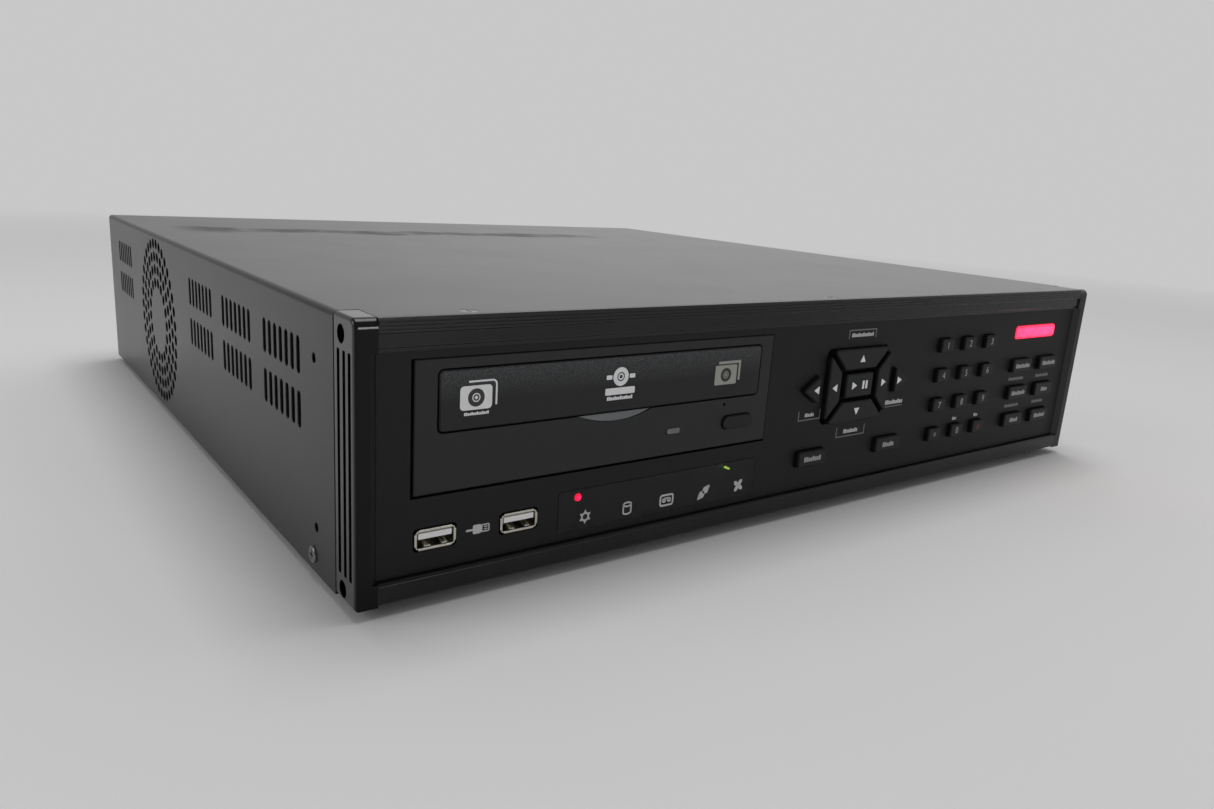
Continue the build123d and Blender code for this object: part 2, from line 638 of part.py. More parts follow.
# ---- optical drive ----
def drive_bezel():
    right = DRIVE_LEFT + DRIVE_BEZEL[0]
    top = DRIVE_BOTTOM + DRIVE_BEZEL[1]
    face = rounded(DRIVE_LEFT, right, DRIVE_BOTTOM, top, 0.4)
    bezel = front_prism(face, PANEL_FRONT - 0.2, DRIVE_BEZEL_BACK)
    bezel = chamfer(bezel.faces().sort_by(Axis.Y)[0].edges(), BEZEL_EDGE)
    u0, u1, w0, w1 = DOOR
    holes = rounded(u0 - DOOR_GAP, u1 + DOOR_GAP, w0 - DOOR_GAP, w1 + DOOR_GAP, DOOR_RADIUS + DOOR_GAP)
    button = (EJECT_SIZE[0] + 2 * GAP, EJECT_SIZE[1] + 2 * GAP)
    holes += Pos(*EJECT_CENTRE) * RectangleRounded(*button, button[1] / 2 - 0.05)
    holes += rounded(*DRIVE_LED, 0.6)
    holes += disc(*PINHOLE)
    return bezel - front_prism(holes, 0, DRIVE_BEZEL_BACK + 1) - finger_scoop()


def finger_scoop():
    """A shallow crescent under the tray door."""
    crescent = Pos(SCOOP_U, DOOR[2] + SCOOP_RISE) * Circle(SCOOP_RADIUS)
    below = Pos(SCOOP_U, DOOR[2] - 10) * Rectangle(60, 20)
    return front_prism(crescent & below, 0, PANEL_FRONT + SCOOP_DEPTH)


def tray_door():
    door = front_prism(rounded(*DOOR, DOOR_RADIUS), DOOR_FRONT, DOOR_BACK)
    return fillet(door.faces().sort_by(Axis.Y)[0].edges(), 0.6)


def disc_tray():
    u0, u1, w0, w1 = TRAY
    middle = (u0 + u1) / 2
    tray = floor_prism(rounded(u0, u1, DOOR_BACK, TRAY_BACK, 3.0), w0, w1)
    tray -= floor_prism(disc(middle, DISC_CENTRE_V, DISC_RADIUS), w1 - DISC_WELL, w1 + 1)
    tray -= floor_prism(disc(middle, DISC_CENTRE_V, SMALL_DISC[0]), w1 - SMALL_DISC[1], w1 + 1)
    length, width, offset_v = TRAY_SLIT
    slit = Pos(middle, DISC_CENTRE_V + offset_v) * SlotOverall(length, width, rotation=90)
    return tray - floor_prism(slit, w0 - 1, w1 + 1)


def drive_case():
    width, height, depth = DRIVE_CASE
    u0 = DRIVE_LEFT + (DRIVE_BEZEL[0] - width) / 2
    w0 = DRIVE_BOTTOM + (DRIVE_BEZEL[1] - height) / 2
    v0 = DRIVE_BEZEL_BACK
    case = block(u0, u0 + width, v0, v0 + depth, w0, w0 + height)
    return case - block(u0 + SHEET, u0 + width - SHEET, v0 - 1, v0 + depth - SHEET,
                        w0 + SHEET, w0 + height - SHEET)


def drive_mechanism():
    """The deck under the tray, with its spindle hub, laser sled and circuit cover."""
    middle = (TRAY[0] + TRAY[1]) / 2
    top = DECK[5]
    width, front, back = SLED
    deck = block(*DECK) + floor_prism(disc(middle, DISC_CENTRE_V, HUB[0]), top, HUB[1])
    deck += block(middle - width / 2, middle + width / 2, front, back, top, SLED_TOP)
    return deck + block(*CIRCUIT_COVER, top, SLED_TOP)


def eject_button():
    width, height = EJECT_SIZE
    face = Pos(*EJECT_CENTRE) * RectangleRounded(width, height, height / 2 - 0.05)
    button = front_prism(face, EJECT_FRONT, EJECT_BACK)
    button = fillet(button.faces().sort_by(Axis.Y)[0].edges(), 0.5)
    flange = Pos(*EJECT_CENTRE) * RectangleRounded(width + 1.6, height + 1.6, height / 2 + 0.7)
    return button + front_prism(flange, DRIVE_BEZEL_BACK + GAP, EJECT_BACK)


# ---- inside ----
def hard_disk():
    """A 3.5-inch hard disk drive standing on its two mounting rails."""
    body = block(*HARD_DISK)
    body = chamfer(body.edges().filter_by(Axis.Z), 2.0)
    top = HARD_DISK[5]
    width, front, back = DISK_RAIL
    for u in DISK_RAILS_U:
        body += block(u, u + width, front, back, SHEET, HARD_DISK[4])
    return body + floor_prism(rounded(*DISK_LID, 8.0), top, top + DISK_LID_HEIGHT)


def main_board():
    u0, u1, v0, v1 = MAIN_BOARD
    w1 = MAIN_BOARD_W + BOARD_THICKNESS
    notch = Pos(FAN_THICKNESS / 2, FAN_V) * Rectangle(FAN_THICKNESS + 14, FAN_SIZE + 40)
    board = floor_prism(rounded(u0, u1, v0, v1, 2.0) - notch, MAIN_BOARD_W, w1)
    for u, v, side in CHIPS:
        board += block(u, u + side, v, v + side, w1, w1 + CHIP_HEIGHT)
    first, pitch, width, front, back, height = CARD_SLOTS
    for k in range(4):
        u = first + k * pitch
        board += block(u, u + width, front, back, w1, w1 + height)
    return board


def heatsink():
    """A finned heatsink over the main processor."""
    u0, u1, v0, v1 = SINK
    w0 = MAIN_BOARD_W + BOARD_THICKNESS
    plate = w0 + CHIP_HEIGHT
    inset = SINK_INSET
    sink = block(u0, u1, v0, v1, plate, plate + SINK_BASE)
    sink += block(u0 + inset, u1 - inset, v0 + inset, v1 - inset, w0, plate)
    count, thickness, height = SINK_FINS
    pitch = (u1 - u0 - thickness) / (count - 1)
    for k in range(count):
        u = u0 + k * pitch
        sink += block(u, u + thickness, v0, v1, plate + SINK_BASE, plate + height)
    return sink


def fan_frame(radius, half, thickness, spacing):
    """A fan housing about the Z axis, its back at zero, with the motor held on four arms."""
    frame = extrude(RectangleRounded(2 * half, 2 * half, 4.0) - Circle(radius), thickness)
    for corner in GridLocations(spacing, spacing, 2, 2):
        frame -= extrude(corner * Circle(2.15), thickness)
    arms = Rectangle(2 * radius + 2, 5) + Rectangle(5, 2 * radius + 2) + Circle(radius * 0.42)
    frame += extrude(arms, 2.5)
    return frame


def fan_rotor(radius, hub, thickness):
    """A bladed rotor about the Z axis, its hub's back at zero."""
    rotor = extrude(Circle(hub), thickness)
    length = radius - hub + 2
    chord, sheet, angle = BLADE
    for k in range(FAN_BLADES):
        blade = Pos(hub - 2 + length / 2, 0, thickness / 2) * Rot(angle, 0, 0) * Box(length, chord, sheet)
        rotor += Rot(0, 0, 360 * k / FAN_BLADES) * blade
    return rotor & extrude(Circle(radius), thickness)


def side_fan_place(u):
    """From the fan's own axes to its place on the left wall, with its +Z towards the wall."""
    return Pos(LEFT_X + u, FRONT_Y + FAN_V, FOOT_HEIGHT + FAN_W) * Rot(0, -90, 0)


def side_fan_frame():
    back = WALL_LEFT + GAP + FAN_THICKNESS
    return side_fan_place(back) * fan_frame(FAN_SWEEP[0], FAN_SIZE / 2, FAN_THICKNESS, FAN_HOLE_SPACING)


def side_fan_rotor():
    back = WALL_LEFT + GAP + FAN_THICKNESS - FAN_BACK_GAP
    return side_fan_place(back) * fan_rotor(FAN_SWEEP[1], *FAN_HUB)


# ---- power supply ----
def power_supply_case():
    u0, u1, v0, v1, w0, w1 = SUPPLY
    case = block(u0, u1, v0, v1, w0, w1)
    case -= block(u0 + SHEET, u1 - SHEET, v0 + SHEET, v1 - SHEET, w0 + SHEET, w1 - SHEET)
    holes = Pos(INLET_U, INLET_W) * RectangleRounded(INLET[0] + 0.4, INLET[1] + 0.4, 2.0)
    holes += Pos(INLET_U, ROCKER_W) * RectangleRounded(ROCKER[0] + 0.8, ROCKER[1] + 1.2, 1.0)
    case -= front_prism(holes, v1 - 3, v1 + 1)
    return case - front_prism(supply_grille(), v1 - 3, v1 + 1)


def supply_grille():
    """Ring slots over the supply's fan, crossed by two bars."""
    rings = Sketch()
    for radius in SUPPLY_RINGS:
        rings += Circle(radius + SUPPLY_RING_HALF) - Circle(radius - SUPPLY_RING_HALF)
    rings -= Rectangle(*SUPPLY_BAR, rotation=45) + Rectangle(*SUPPLY_BAR, rotation=-45)
    return Pos(SUPPLY_FAN_U, SUPPLY_FAN_W) * rings


def psu_fan_rotor():
    back = SUPPLY[3] - SHEET - SUPPLY_ROTOR_GAP
    place = Pos(LEFT_X + SUPPLY_FAN_U, FRONT_Y + back, FOOT_HEIGHT + SUPPLY_FAN_W) * Rot(90, 0, 0)
    return place * fan_rotor(*SUPPLY_ROTOR)


def ac_inlet():
    """Three-pin mains inlet that stands in the supply's wall, with its socket cavity."""
    back = SUPPLY[3]
    place = Pos(INLET_U, INLET_W)
    body = front_prism(place * RectangleRounded(INLET[0], INLET[1], 1.8), back - INLET[2], back + INLET_REACH)
    floor = back - INLET_CAVITY_DEPTH
    body -= front_prism(place * outline(*INLET_CAVITY), floor, back + 2)
    for u, w in INLET_PINS:
        body += front_prism(Pos(INLET_U + u, INLET_W + w) * Rectangle(*INLET_PIN), floor - 0.5, back - 1)
    return body


def power_rocker():
    """Two-way rocker, tilted to its on side; it turns about an axis along X."""
    length, height, depth = ROCKER
    half = height / 2
    shape = outline((-depth, -half), (ROCKER_RISE, -half), (0.0, 0.0), (ROCKER_RISE, half),
                    (-depth, half), (-ROCKER_KEEL, 0.0))
    rocker = side_prism(shape, INLET_U - length / 2, INLET_U + length / 2)
    pivot = Axis((0, FRONT_Y, FOOT_HEIGHT), (1, 0, 0))
    rocker = rocker.rotate(pivot, -ROCKER_TILT)
    return Pos(0, SUPPLY[3] + ROCKER_SEAT, ROCKER_W) * rocker


# ---- rear sockets and leads ----
def bnc_places():
    return [(BNC_FIRST_U + k * BNC_PITCH, w) for k in range(BNC_COLUMNS) for w in BNC_ROWS_W]


def bnc_sockets():
    """Eight housings that stand on the main board, each with two barrels that come through the wall."""
    face = DEPTH - SHEET - 0.2
    board_top = MAIN_BOARD_W + BOARD_THICKNESS
    solids = []
    for k in range(BNC_COLUMNS):
        u = BNC_FIRST_U + k * BNC_PITCH
        half = BNC_HOUSING[0] / 2
        solids.append(block(u - half, u + half, face - BNC_HOUSING[1], face, board_top, BNC_HOUSING[2]))
    solids += [bnc_barrel(u, w, face) for u, w in bnc_places()]
    return Compound([shape.solid() for shape in solids])


def bnc_barrel(u, w, v0):
    """One bored barrel with its centre contact and two bayonet studs."""
    tip = DEPTH + SOCKET_REACH
    barrel = front_prism(disc(u, w, BNC_RADIUS), v0, tip)
    barrel -= front_prism(disc(u, w, BNC_BORE), DEPTH + 1, tip + 1)
    barrel += front_prism(disc(u, w, BNC_PIN_RADIUS), v0, tip - 2)
    for side in (-1, 1):
        stud = Pos(LEFT_X + u + side * (BNC_RADIUS + 0.2), FRONT_Y + tip - 3.5, FOOT_HEIGHT + w)
        barrel += stud * Rot(0, 90, 0) * Cylinder(0.9, 1.8)
    return barrel


def rear_port_block():
    """One moulded stack of sockets: network, monitor and two round audio jacks."""
    u0, u1, v0, w0, w1 = PORT_BLOCK
    face = DEPTH + PORT_FACE_REACH
    body = block(u0, u1, v0, DEPTH - SHEET - 0.2, w0, w1)
    body += front_prism(rounded(*PORT_FACE, 0.6), DEPTH - 4, face)
    centre, width, height, depth = NETWORK_PORT
    floor = NETWORK_FLOOR
    body -= block(centre - width / 2, centre + width / 2, face - depth, face + 1, floor, floor + height)
    body -= front_prism(outline(*MONITOR_PORT), face - MONITOR_DEPTH, face + 1)
    collar = face + PORT_FACE_REACH
    for w in AUDIO_JACKS_W:
        body += front_prism(disc(AUDIO_JACKS_U, w, AUDIO_JACK_COLLAR), face - 1, collar)
        body -= front_prism(disc(AUDIO_JACKS_U, w, AUDIO_JACK_RADIUS), collar - AUDIO_JACK_DEPTH, collar + 1)
    return body


def lead(points, radius):
    """A round lead along straight runs joined by arcs as large as the runs allow."""
    places = [Vector(LEFT_X + u, FRONT_Y + v, FOOT_HEIGHT + w) for u, v, w in points]
    radii = []
    for a, b, c in zip(places, places[1:], places[2:]):
        turn = (b - a).get_angle(c - b)
        shorter = min((b - a).length, (c - b).length)
        radii.append(0.45 * shorter / tan_degrees(turn / 2))
    path = FilletPolyline(*places, radius=radii)
    start = Plane(origin=path @ 0, z_dir=path % 0)
    return sweep(start * Circle(radius), path=path)


def tan_degrees(angle):
    return sin(angle * pi / 180) / cos(angle * pi / 180)


def drive_data_lead():
    back = DRIVE_BEZEL_BACK + DRIVE_CASE[2]
    points = [(70, back, 50), (70, back + 18, 50), (72, back + 34, 42), (78, back + 46, 28),
              (86, back + 60, 22), (94, back + 76, 22)]
    return lead(points, 2.0)


def drive_power_lead():
    start_u, start_v = SUPPLY[0] + 20, SUPPLY[2]
    back = DRIVE_BEZEL_BACK + DRIVE_CASE[2]
    points = [(start_u, start_v, 50), (start_u, start_v - 18, 50), (300, 228, 53), (272, 212, 57),
              (236, 206, 60), (200, 208, 59), (166, 204, 56), (142, back + 20, 53), (142, back, 53)]
    return lead(points, 2.5)


def main():
    os.makedirs("parts", exist_ok=True)
    keys = key_sketches()
    cap = left_end_cap()
    solids = {
        "top_cover": top_cover(),
        "base_chassis": base_chassis(),
        "feet": feet(),
        "cover_screws": cover_screws(),
        "front_frame": front_frame(),
        "left_end_cap": cap,
        "right_end_cap": mirrored(cap),
        "front_panel": front_panel(keys),
        "indicator_window": indicator_window(),
        "indicator_leds": indicator_leds(),
        "light_bar": light_bar(),
        "keypad_board": keypad_board(keys),
        "usb_shells": usb_shells(),
        "usb_tongues": usb_tongues(),
        "drive_bezel": drive_bezel(),
        "tray_door": tray_door(),
        "disc_tray": disc_tray(),
        "drive_case": drive_case(),
        "drive_mechanism": drive_mechanism(),
        "eject_button": eject_button(),
        "hard_disk": hard_disk(),
        "main_board": main_board(),
        "heatsink": heatsink(),
        "side_fan_frame": side_fan_frame(),
        "side_fan_rotor": side_fan_rotor(),
        "power_supply_case": power_supply_case(),
        "psu_fan_rotor": psu_fan_rotor(),
        "ac_inlet": ac_inlet(),
        "power_rocker": power_rocker(),
        "bnc_sockets": bnc_sockets(),
        "rear_port_block": rear_port_block(),
        "drive_data_lead": drive_data_lead(),
        "drive_power_lead": drive_power_lead(),
    }
    for name, face in keys.items():
        solids[name] = key_solid(face)
    for name, solid in solids.items():
        save(solid, name)


main()
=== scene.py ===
"""Looks for a two-unit video recorder: finishes, printed marks, lamps and contacts on the CAD frame.

Lengths are metres in the frame's axes: X to the right, Y to the rear, Z up. Marks are drawn in
millimetres, to the right and up, and scaled when they are laid on a face.
"""

import json
import math

import bmesh
import bpy
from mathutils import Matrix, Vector


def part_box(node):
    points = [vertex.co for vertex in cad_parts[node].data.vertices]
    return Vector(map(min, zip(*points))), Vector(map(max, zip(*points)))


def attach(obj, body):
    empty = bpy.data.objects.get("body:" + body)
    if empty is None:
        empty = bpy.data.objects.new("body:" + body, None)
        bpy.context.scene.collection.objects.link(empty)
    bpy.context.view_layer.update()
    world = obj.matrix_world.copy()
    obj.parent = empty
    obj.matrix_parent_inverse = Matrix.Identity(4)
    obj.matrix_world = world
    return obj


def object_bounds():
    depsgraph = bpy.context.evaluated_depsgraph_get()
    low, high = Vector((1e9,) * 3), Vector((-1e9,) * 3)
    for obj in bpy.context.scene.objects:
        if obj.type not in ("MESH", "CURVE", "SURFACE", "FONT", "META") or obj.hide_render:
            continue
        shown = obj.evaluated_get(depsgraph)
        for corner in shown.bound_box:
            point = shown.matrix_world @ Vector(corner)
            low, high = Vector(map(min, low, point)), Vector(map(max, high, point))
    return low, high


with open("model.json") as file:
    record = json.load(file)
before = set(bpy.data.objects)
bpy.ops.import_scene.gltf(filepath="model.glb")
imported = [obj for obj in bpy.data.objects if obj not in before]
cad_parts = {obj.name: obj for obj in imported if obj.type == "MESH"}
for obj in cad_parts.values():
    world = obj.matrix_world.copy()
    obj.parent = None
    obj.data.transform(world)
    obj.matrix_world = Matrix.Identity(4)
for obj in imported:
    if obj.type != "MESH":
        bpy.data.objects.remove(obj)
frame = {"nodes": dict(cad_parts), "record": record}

CAD_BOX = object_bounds()
MM = 0.001

# ---- camera: its place, its turn in degrees and its lens in millimetres ----
CAMERA_PLACE = (-0.2930, -0.4411, 0.1320)
CAMERA_TURN = (75.898, -3.651, -36.343)
CAMERA_LENS = 26.607

# ---- surroundings and floor ----
BACKGROUND = 0.578
BRIGHT_SIDE = (0.78, 0.60, 0.10)
DIM_LEVEL = 0.16
BRIGHT_LEVEL = 0.86
FLOOR_HALF = 14.0
FLOOR_FADE = (0.6, 1.7)

# ---- soft lights: place, aim, width and height, watts ----
SOFT_LIGHTS = {
    "overhead": ((0.12, 0.0, 1.8), (0, 0, 0), (1.0, 0.9), 11.5),
    "left_fill": ((-1.8, 0.3, 1.1), (-0.3, 0, 0), (1.2, 1.0), 5.5),
    "front_strip": ((0.55, -2.13, 0.26), (-0.2, -0.2, 0.09), (0.45, 0.32), 6.0),
}

# ---- lit lamps and the lit bar: strengths and colours ----
RED_LAMP = 300.0
RED_GLOW = (1.0, 0.0022, 0.021, 1)
GREEN_LAMP = 32.0
GREEN_GLOW = (0.36, 0.55, 0.06, 1)
BAR_GLOW = 6.5
BAR_MIDDLE = (1.0, 0.0135, 0.055, 1)
BAR_RIM = (0.16, 0.0022, 0.010, 1)
BAR_BORDER = 0.0009

# ---- handling marks on the top: distances from its edges, how far they wander, and their roughness ----
MARKS_FROM_REAR = (0.099, 0.126)
MARKS_FROM_LEFT = 0.026
MARKS_FROM_RIGHT = 0.115
MARKS_WANDER = 0.012
MARKS_ROUGHER = 0.17

# ---- finger recess: its arc's centre from the bezel's left and the door's foot, radius, depth, top ----
SCOOP_ACROSS = 0.0745
SCOOP_RISE = 0.042
SCOOP_RADIUS = 0.0453
SCOOP_DEPTH = 0.0007
SCOOP_TOP_GAP = 0.0006

# ---- tray door: how far the outer badges are from its ends; activity lens, from the eject button ----
BADGE_FROM_LEFT = 0.0132
BADGE_FROM_RIGHT = 0.0172
LENS_FROM_BUTTON = 0.0317
LENS_BELOW_BUTTON = 0.0003

# ---- indicator lamps: how many, and how far below them the icons are ----
LAMP_COUNT = 5
ICON_DROP = 0.0055

# ---- data sockets: their floor over the shell's foot, the contacts and the springs ----
SOCKET_FLOOR = 0.00135
CONTACT_PITCH = 0.0023
CONTACT_HALF = 0.0005
CONTACT_THICK = 0.00012
SPRING_FROM_MIDDLE = 0.0029
SPRING_HALF = 0.0011
SPRING_THICK = 0.0002

# ---- video sockets: insulator and contact behind the wall, and the number above the axis ----
INSULATOR_SPAN = (0.0012, 0.0045)
PIN_TIP = 0.0082
NUMBER_RISE = 0.0085

# ---- other rear sockets: network wires, monitor insert (its height in millimetres), audio ring ----
WIRE_PITCH = 0.00102
WIRE_HALF = 0.0002
WIRE_THICK = 0.00035
INSERT_DEPTH = 0.0045
INSERT_HEIGHT = 1.2
JACK_REACH = 0.004

# ---- printing: millimetres of ink above and below a face, and the faces' right, up and out ----
INK_HEIGHT = 0.03
OVERPRINT_HEIGHT = 0.05
INK_DEPTH = 0.05
FRONT_FACE = (Vector((1, 0, 0)), Vector((0, 0, 1)), Vector((0, -1, 0)))
REAR_FACE = (Vector((-1, 0, 0)), Vector((0, 0, 1)), Vector((0, 1, 0)))


# ---- node helpers ----
def feed(tree, socket, value):
    """Gives a socket another node's output, or a value of its own."""
    if isinstance(value, bpy.types.NodeSocket):
        tree.links.new(value, socket)
    else:
        socket.default_value = value


def node(tree, kind, inputs=None, **settings):
    """A shader node with its settings and inputs; an input may be a value or another node's output."""
    made = tree.nodes.new(kind)
    for key, value in settings.items():
        setattr(made, key, value)
    for key, value in (inputs or {}).items():
        feed(tree, made.inputs[key], value)
    return made


def grey(level):
    """A neutral colour."""
    return (level, level, level, 1.0)


def tone(colour, share):
    """A colour made lighter or darker by a share."""
    return tuple(min(1.0, c * share) for c in colour) + (1.0,)


def opened(material):
    """A material with its node tree and its main shader."""
    tree = material.node_tree
    return material, tree, tree.nodes["Principled BSDF"]


def new_material(name):
    material = bpy.data.materials.new(name)
    material.use_nodes = True
    return opened(material)


def source_of(shader, name):
    """What is linked to a shader's input."""
    return shader.inputs[name].links[0].from_socket


def noise(tree, size, detail=2.0, stretch=(1, 1, 1)):
    """Noise with features about size metres across, fixed to the piece."""
    place = node(tree, "ShaderNodeTexCoord").outputs["Object"]
    if stretch != (1, 1, 1):
        place = node(tree, "ShaderNodeMapping", {"Vector": place, "Scale": stretch}).outputs["Vector"]
    inputs = {"Vector": place, "Scale": 1.0 / size, "Detail": detail, "Roughness": 0.55}
    return node(tree, "ShaderNodeTexNoise", inputs).outputs["Fac"]


def mapped(tree, value, from_min, from_max, to_min, to_max):
    """The value carried from one range to another, and held at the new range's ends."""
    inputs = {"Value": value, "From Min": from_min, "From Max": from_max,
              "To Min": to_min, "To Max": to_max}
    return node(tree, "ShaderNodeMapRange", inputs).outputs["Result"]


def mixed(tree, factor, a, b):
    """Colour a where the factor is 0, colour b where it is 1."""
    return node(tree, "ShaderNodeMix", {0: factor, 6: a, 7: b}, data_type="RGBA").outputs[2]


def math_node(tree, operation, a, b=0.0):
    return node(tree, "ShaderNodeMath", {0: a, 1: b}, operation=operation).outputs[0]


def axis_value(tree, axis):
    """A point's own X, Y or Z, in metres."""
    place = node(tree, "ShaderNodeTexCoord").outputs["Object"]
    return node(tree, "ShaderNodeSeparateXYZ", {"Vector": place}).outputs[axis]


def facing(tree, axis, normal="Normal"):
    """How far a face turns towards X, Y or Z, from -1 to 1."""
    turned = node(tree, "ShaderNodeNewGeometry").outputs[normal]
    return node(tree, "ShaderNodeSeparateXYZ", {"Vector": turned}).outputs[axis]


def within(tree, value, low, high, soft):
    """1 between low and high, 0 outside, with soft edges."""
    rise = mapped(tree, value, low - soft, low + soft, 0.0, 1.0)
    fall = mapped(tree, value, high - soft, high + soft, 1.0, 0.0)
    return math_node(tree, "MULTIPLY", rise, fall)


def edge_mask(tree, rounded_normal):
    """About 1 on convex and concave edges, 0 on flat faces."""
    plain_normal = node(tree, "ShaderNodeNewGeometry").outputs["Normal"]
    dot = node(tree, "ShaderNodeVectorMath", {0: rounded_normal, 1: plain_normal}, operation="DOT_PRODUCT")
    return mapped(tree, dot.outputs["Value"], 0.995, 0.90, 0.0, 1.0)


def finish(name, colour, roughness, grain, depth, mottle=0.12, edge=0.25, wear_and_highlight=1.6,
           stretch=(1, 1, 1), cloud=0.04, **principled):
    """A solid finish: fine grain in relief, faint patches, and rounded edges made lighter, partly as wear
    and partly as a painted highlight.

    grain, depth and edge are millimetres. mottle is the share by which the colour strays, cloud is
    how far the roughness strays, and the wear share is how many times lighter an edge is, as wear and as a
    painted highlight.
    """
    material, tree, shader = new_material(name)
    patches = noise(tree, 0.035, detail=5.0)
    base = mixed(tree, mapped(tree, patches, 0.3, 0.7, 0.0, 1.0), tone(colour, 1 - mottle),
                 tone(colour, 1 + mottle))
    fine = noise(tree, grain * MM, stretch=stretch)
    speck = mapped(tree, fine, 0.35, 0.75, 1 - mottle, 1 + mottle)
    base = node(tree, "ShaderNodeVectorMath", {0: base, "Scale": speck}, operation="SCALE")
    rounded = node(tree, "ShaderNodeBevel", {"Radius": edge * MM}, samples=4).outputs["Normal"]
    # Edges are mixed towards a lighter colour: partly wear, partly a painted highlight for the light that
    # rounded edges catch.
    edges = edge_mask(tree, rounded)
    colour_out = mixed(tree, edges, base.outputs["Vector"], tone(colour, wear_and_highlight))
    tree.links.new(colour_out, shader.inputs["Base Color"])
    rough = mapped(tree, patches, 0.25, 0.75, roughness - cloud, roughness + cloud)
    tree.links.new(rough, shader.inputs["Roughness"])
    bump = node(tree, "ShaderNodeBump", {"Height": fine, "Distance": depth * MM, "Normal": rounded})
    tree.links.new(bump.outputs["Normal"], shader.inputs["Normal"])
    for key, value in principled.items():
        shader.inputs[key.replace("_", " ")].default_value = value
    return material


# ---- materials of the record's slots ----
def case_paint():
    """Fine textured powder coat, with a row of faint handling marks near the top's rear edge."""
    paint = finish("case_paint", (0.0145, 0.0145, 0.0143), 0.31, 0.55, 0.05, mottle=0.10, edge=0.5,
                   wear_and_highlight=1.8, cloud=0.012, Specular_IOR_Level=0.45)
    material, tree, shader = opened(paint)
    low, high = CAD_BOX
    near, far = MARKS_FROM_REAR
    wander = mapped(tree, noise(tree, 0.045, detail=3.0), 0.3, 0.7, -MARKS_WANDER, MARKS_WANDER)
    depth = math_node(tree, "ADD", axis_value(tree, "Y"), wander)
    band = within(tree, depth, high[1] - far, high[1] - near, 0.004)
    span = within(tree, axis_value(tree, "X"), low[0] + MARKS_FROM_LEFT, high[0] - MARKS_FROM_RIGHT, 0.010)
    blots = mapped(tree, noise(tree, 0.014, detail=4.0, stretch=(1.0, 0.4, 1)), 0.28, 0.56, 0.0, 1.0)
    smudge = math_node(tree, "MULTIPLY", math_node(tree, "MULTIPLY", band, span), blots)
    upward = mapped(tree, facing(tree, "Z"), 0.9, 0.99, 0.0, 1.0)
    smudge = math_node(tree, "MULTIPLY", smudge, upward)
    rougher = mapped(tree, smudge, 0.0, 1.0, 0.0, MARKS_ROUGHER)
    rough = math_node(tree, "ADD", source_of(shader, "Roughness"), rougher)
    tree.links.new(rough, shader.inputs["Roughness"])
    return material


def cap_black():
    """Semi-gloss moulding: the crown is shinier, and the outer sides have the case's paler texture."""
    # The cap's edges are painted three times lighter, as wear and as a painted highlight.
    gloss = finish("cap_black", (0.0040, 0.0041, 0.0041), 0.18, 0.40, 0.006, mottle=0.14, wear_and_highlight=3.0)
    material, tree, shader = opened(gloss)
    sideways = math_node(tree, "ABSOLUTE", facing(tree, "X", "True Normal"))
    side = mapped(tree, sideways, 0.6, 0.95, 0.0, 1.0)
    colour = mixed(tree, side, source_of(shader, "Base Color"), grey(0.040))
    tree.links.new(colour, shader.inputs["Base Color"])
    crown = mapped(tree, facing(tree, "Z", "True Normal"), 0.02, 0.12, 0.0, 0.26)
    level = math_node(tree, "ADD", mapped(tree, side, 0.0, 1.0, 0.17, 0.6), crown)
    tree.links.new(level, shader.inputs["Specular IOR Level"])
    return material


def door_black():
    """Satin plastic with a painted sheen: its upper half is painted lighter in fine specks, where the
    door's top catches the light.
    """
    satin = finish("door_black", (0.0124, 0.0128, 0.0132), 0.48, 0.35, 0.025, mottle=0.18,
                   Specular_IOR_Level=0.25)
    material, tree, shader = opened(satin)
    low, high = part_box("tray_door")
    height = high.z - low.z
    # Painted sheen: over the door's upper half the base colour is mixed towards a lighter grey in specks,
    # standing in for light caught by its top.
    upper = mapped(tree, axis_value(tree, "Z"), low.z + 0.45 * height, high.z, 0.0, 1.0)
    sheen_specks = mapped(tree, noise(tree, 0.5 * MM), 0.42, 0.62, 0.25, 1.0)
    painted_sheen = math_node(tree, "MULTIPLY", upper, sheen_specks)
    colour = mixed(tree, painted_sheen, source_of(shader, "Base Color"), (0.078, 0.081, 0.086, 1))
    tree.links.new(colour, shader.inputs["Base Color"])
    return material


def zinc_steel():
    return finish("zinc_steel", (0.42, 0.43, 0.44), 0.38, 0.9, 0.01, mottle=0.14, wear_and_highlight=1.1,
                  stretch=(1, 0.12, 1), Metallic=1.0)


def smoked_window():
    """Dark plastic, clear enough to show a lit lamp behind it, with fine polishing scratches."""
    material, tree, shader = new_material("smoked_window")
    scratches = noise(tree, 0.6 * MM, detail=3.0, stretch=(0.1, 1, 1))
    tree.links.new(mapped(tree, scratches, 0.3, 0.7, 0.32, 0.38), shader.inputs["Roughness"])
    bump = node(tree, "ShaderNodeBump", {"Height": scratches, "Distance": 0.0006 * MM})
    tree.links.new(bump.outputs["Normal"], shader.inputs["Normal"])
    tree.links.new(mixed(tree, noise(tree, 0.02), grey(0.0110), grey(0.0150)), shader.inputs["Base Color"])
    shader.inputs["Alpha"].default_value = 0.80
    shader.inputs["Specular IOR Level"].default_value = 0.24
    return material


def glow_spot(tree, x, z, radius):
    """1 at a place in X and Z, falling to 0 at the radius."""
    dx = math_node(tree, "SUBTRACT", axis_value(tree, "X"), x)
    dz = math_node(tree, "SUBTRACT", axis_value(tree, "Z"), z)
    squares = [math_node(tree, "MULTIPLY", side, side) for side in (dx, dz)]
    distance = math_node(tree, "SQRT", math_node(tree, "ADD", *squares))
    return mapped(tree, distance, 0.0, radius, 1.0, 0.0)


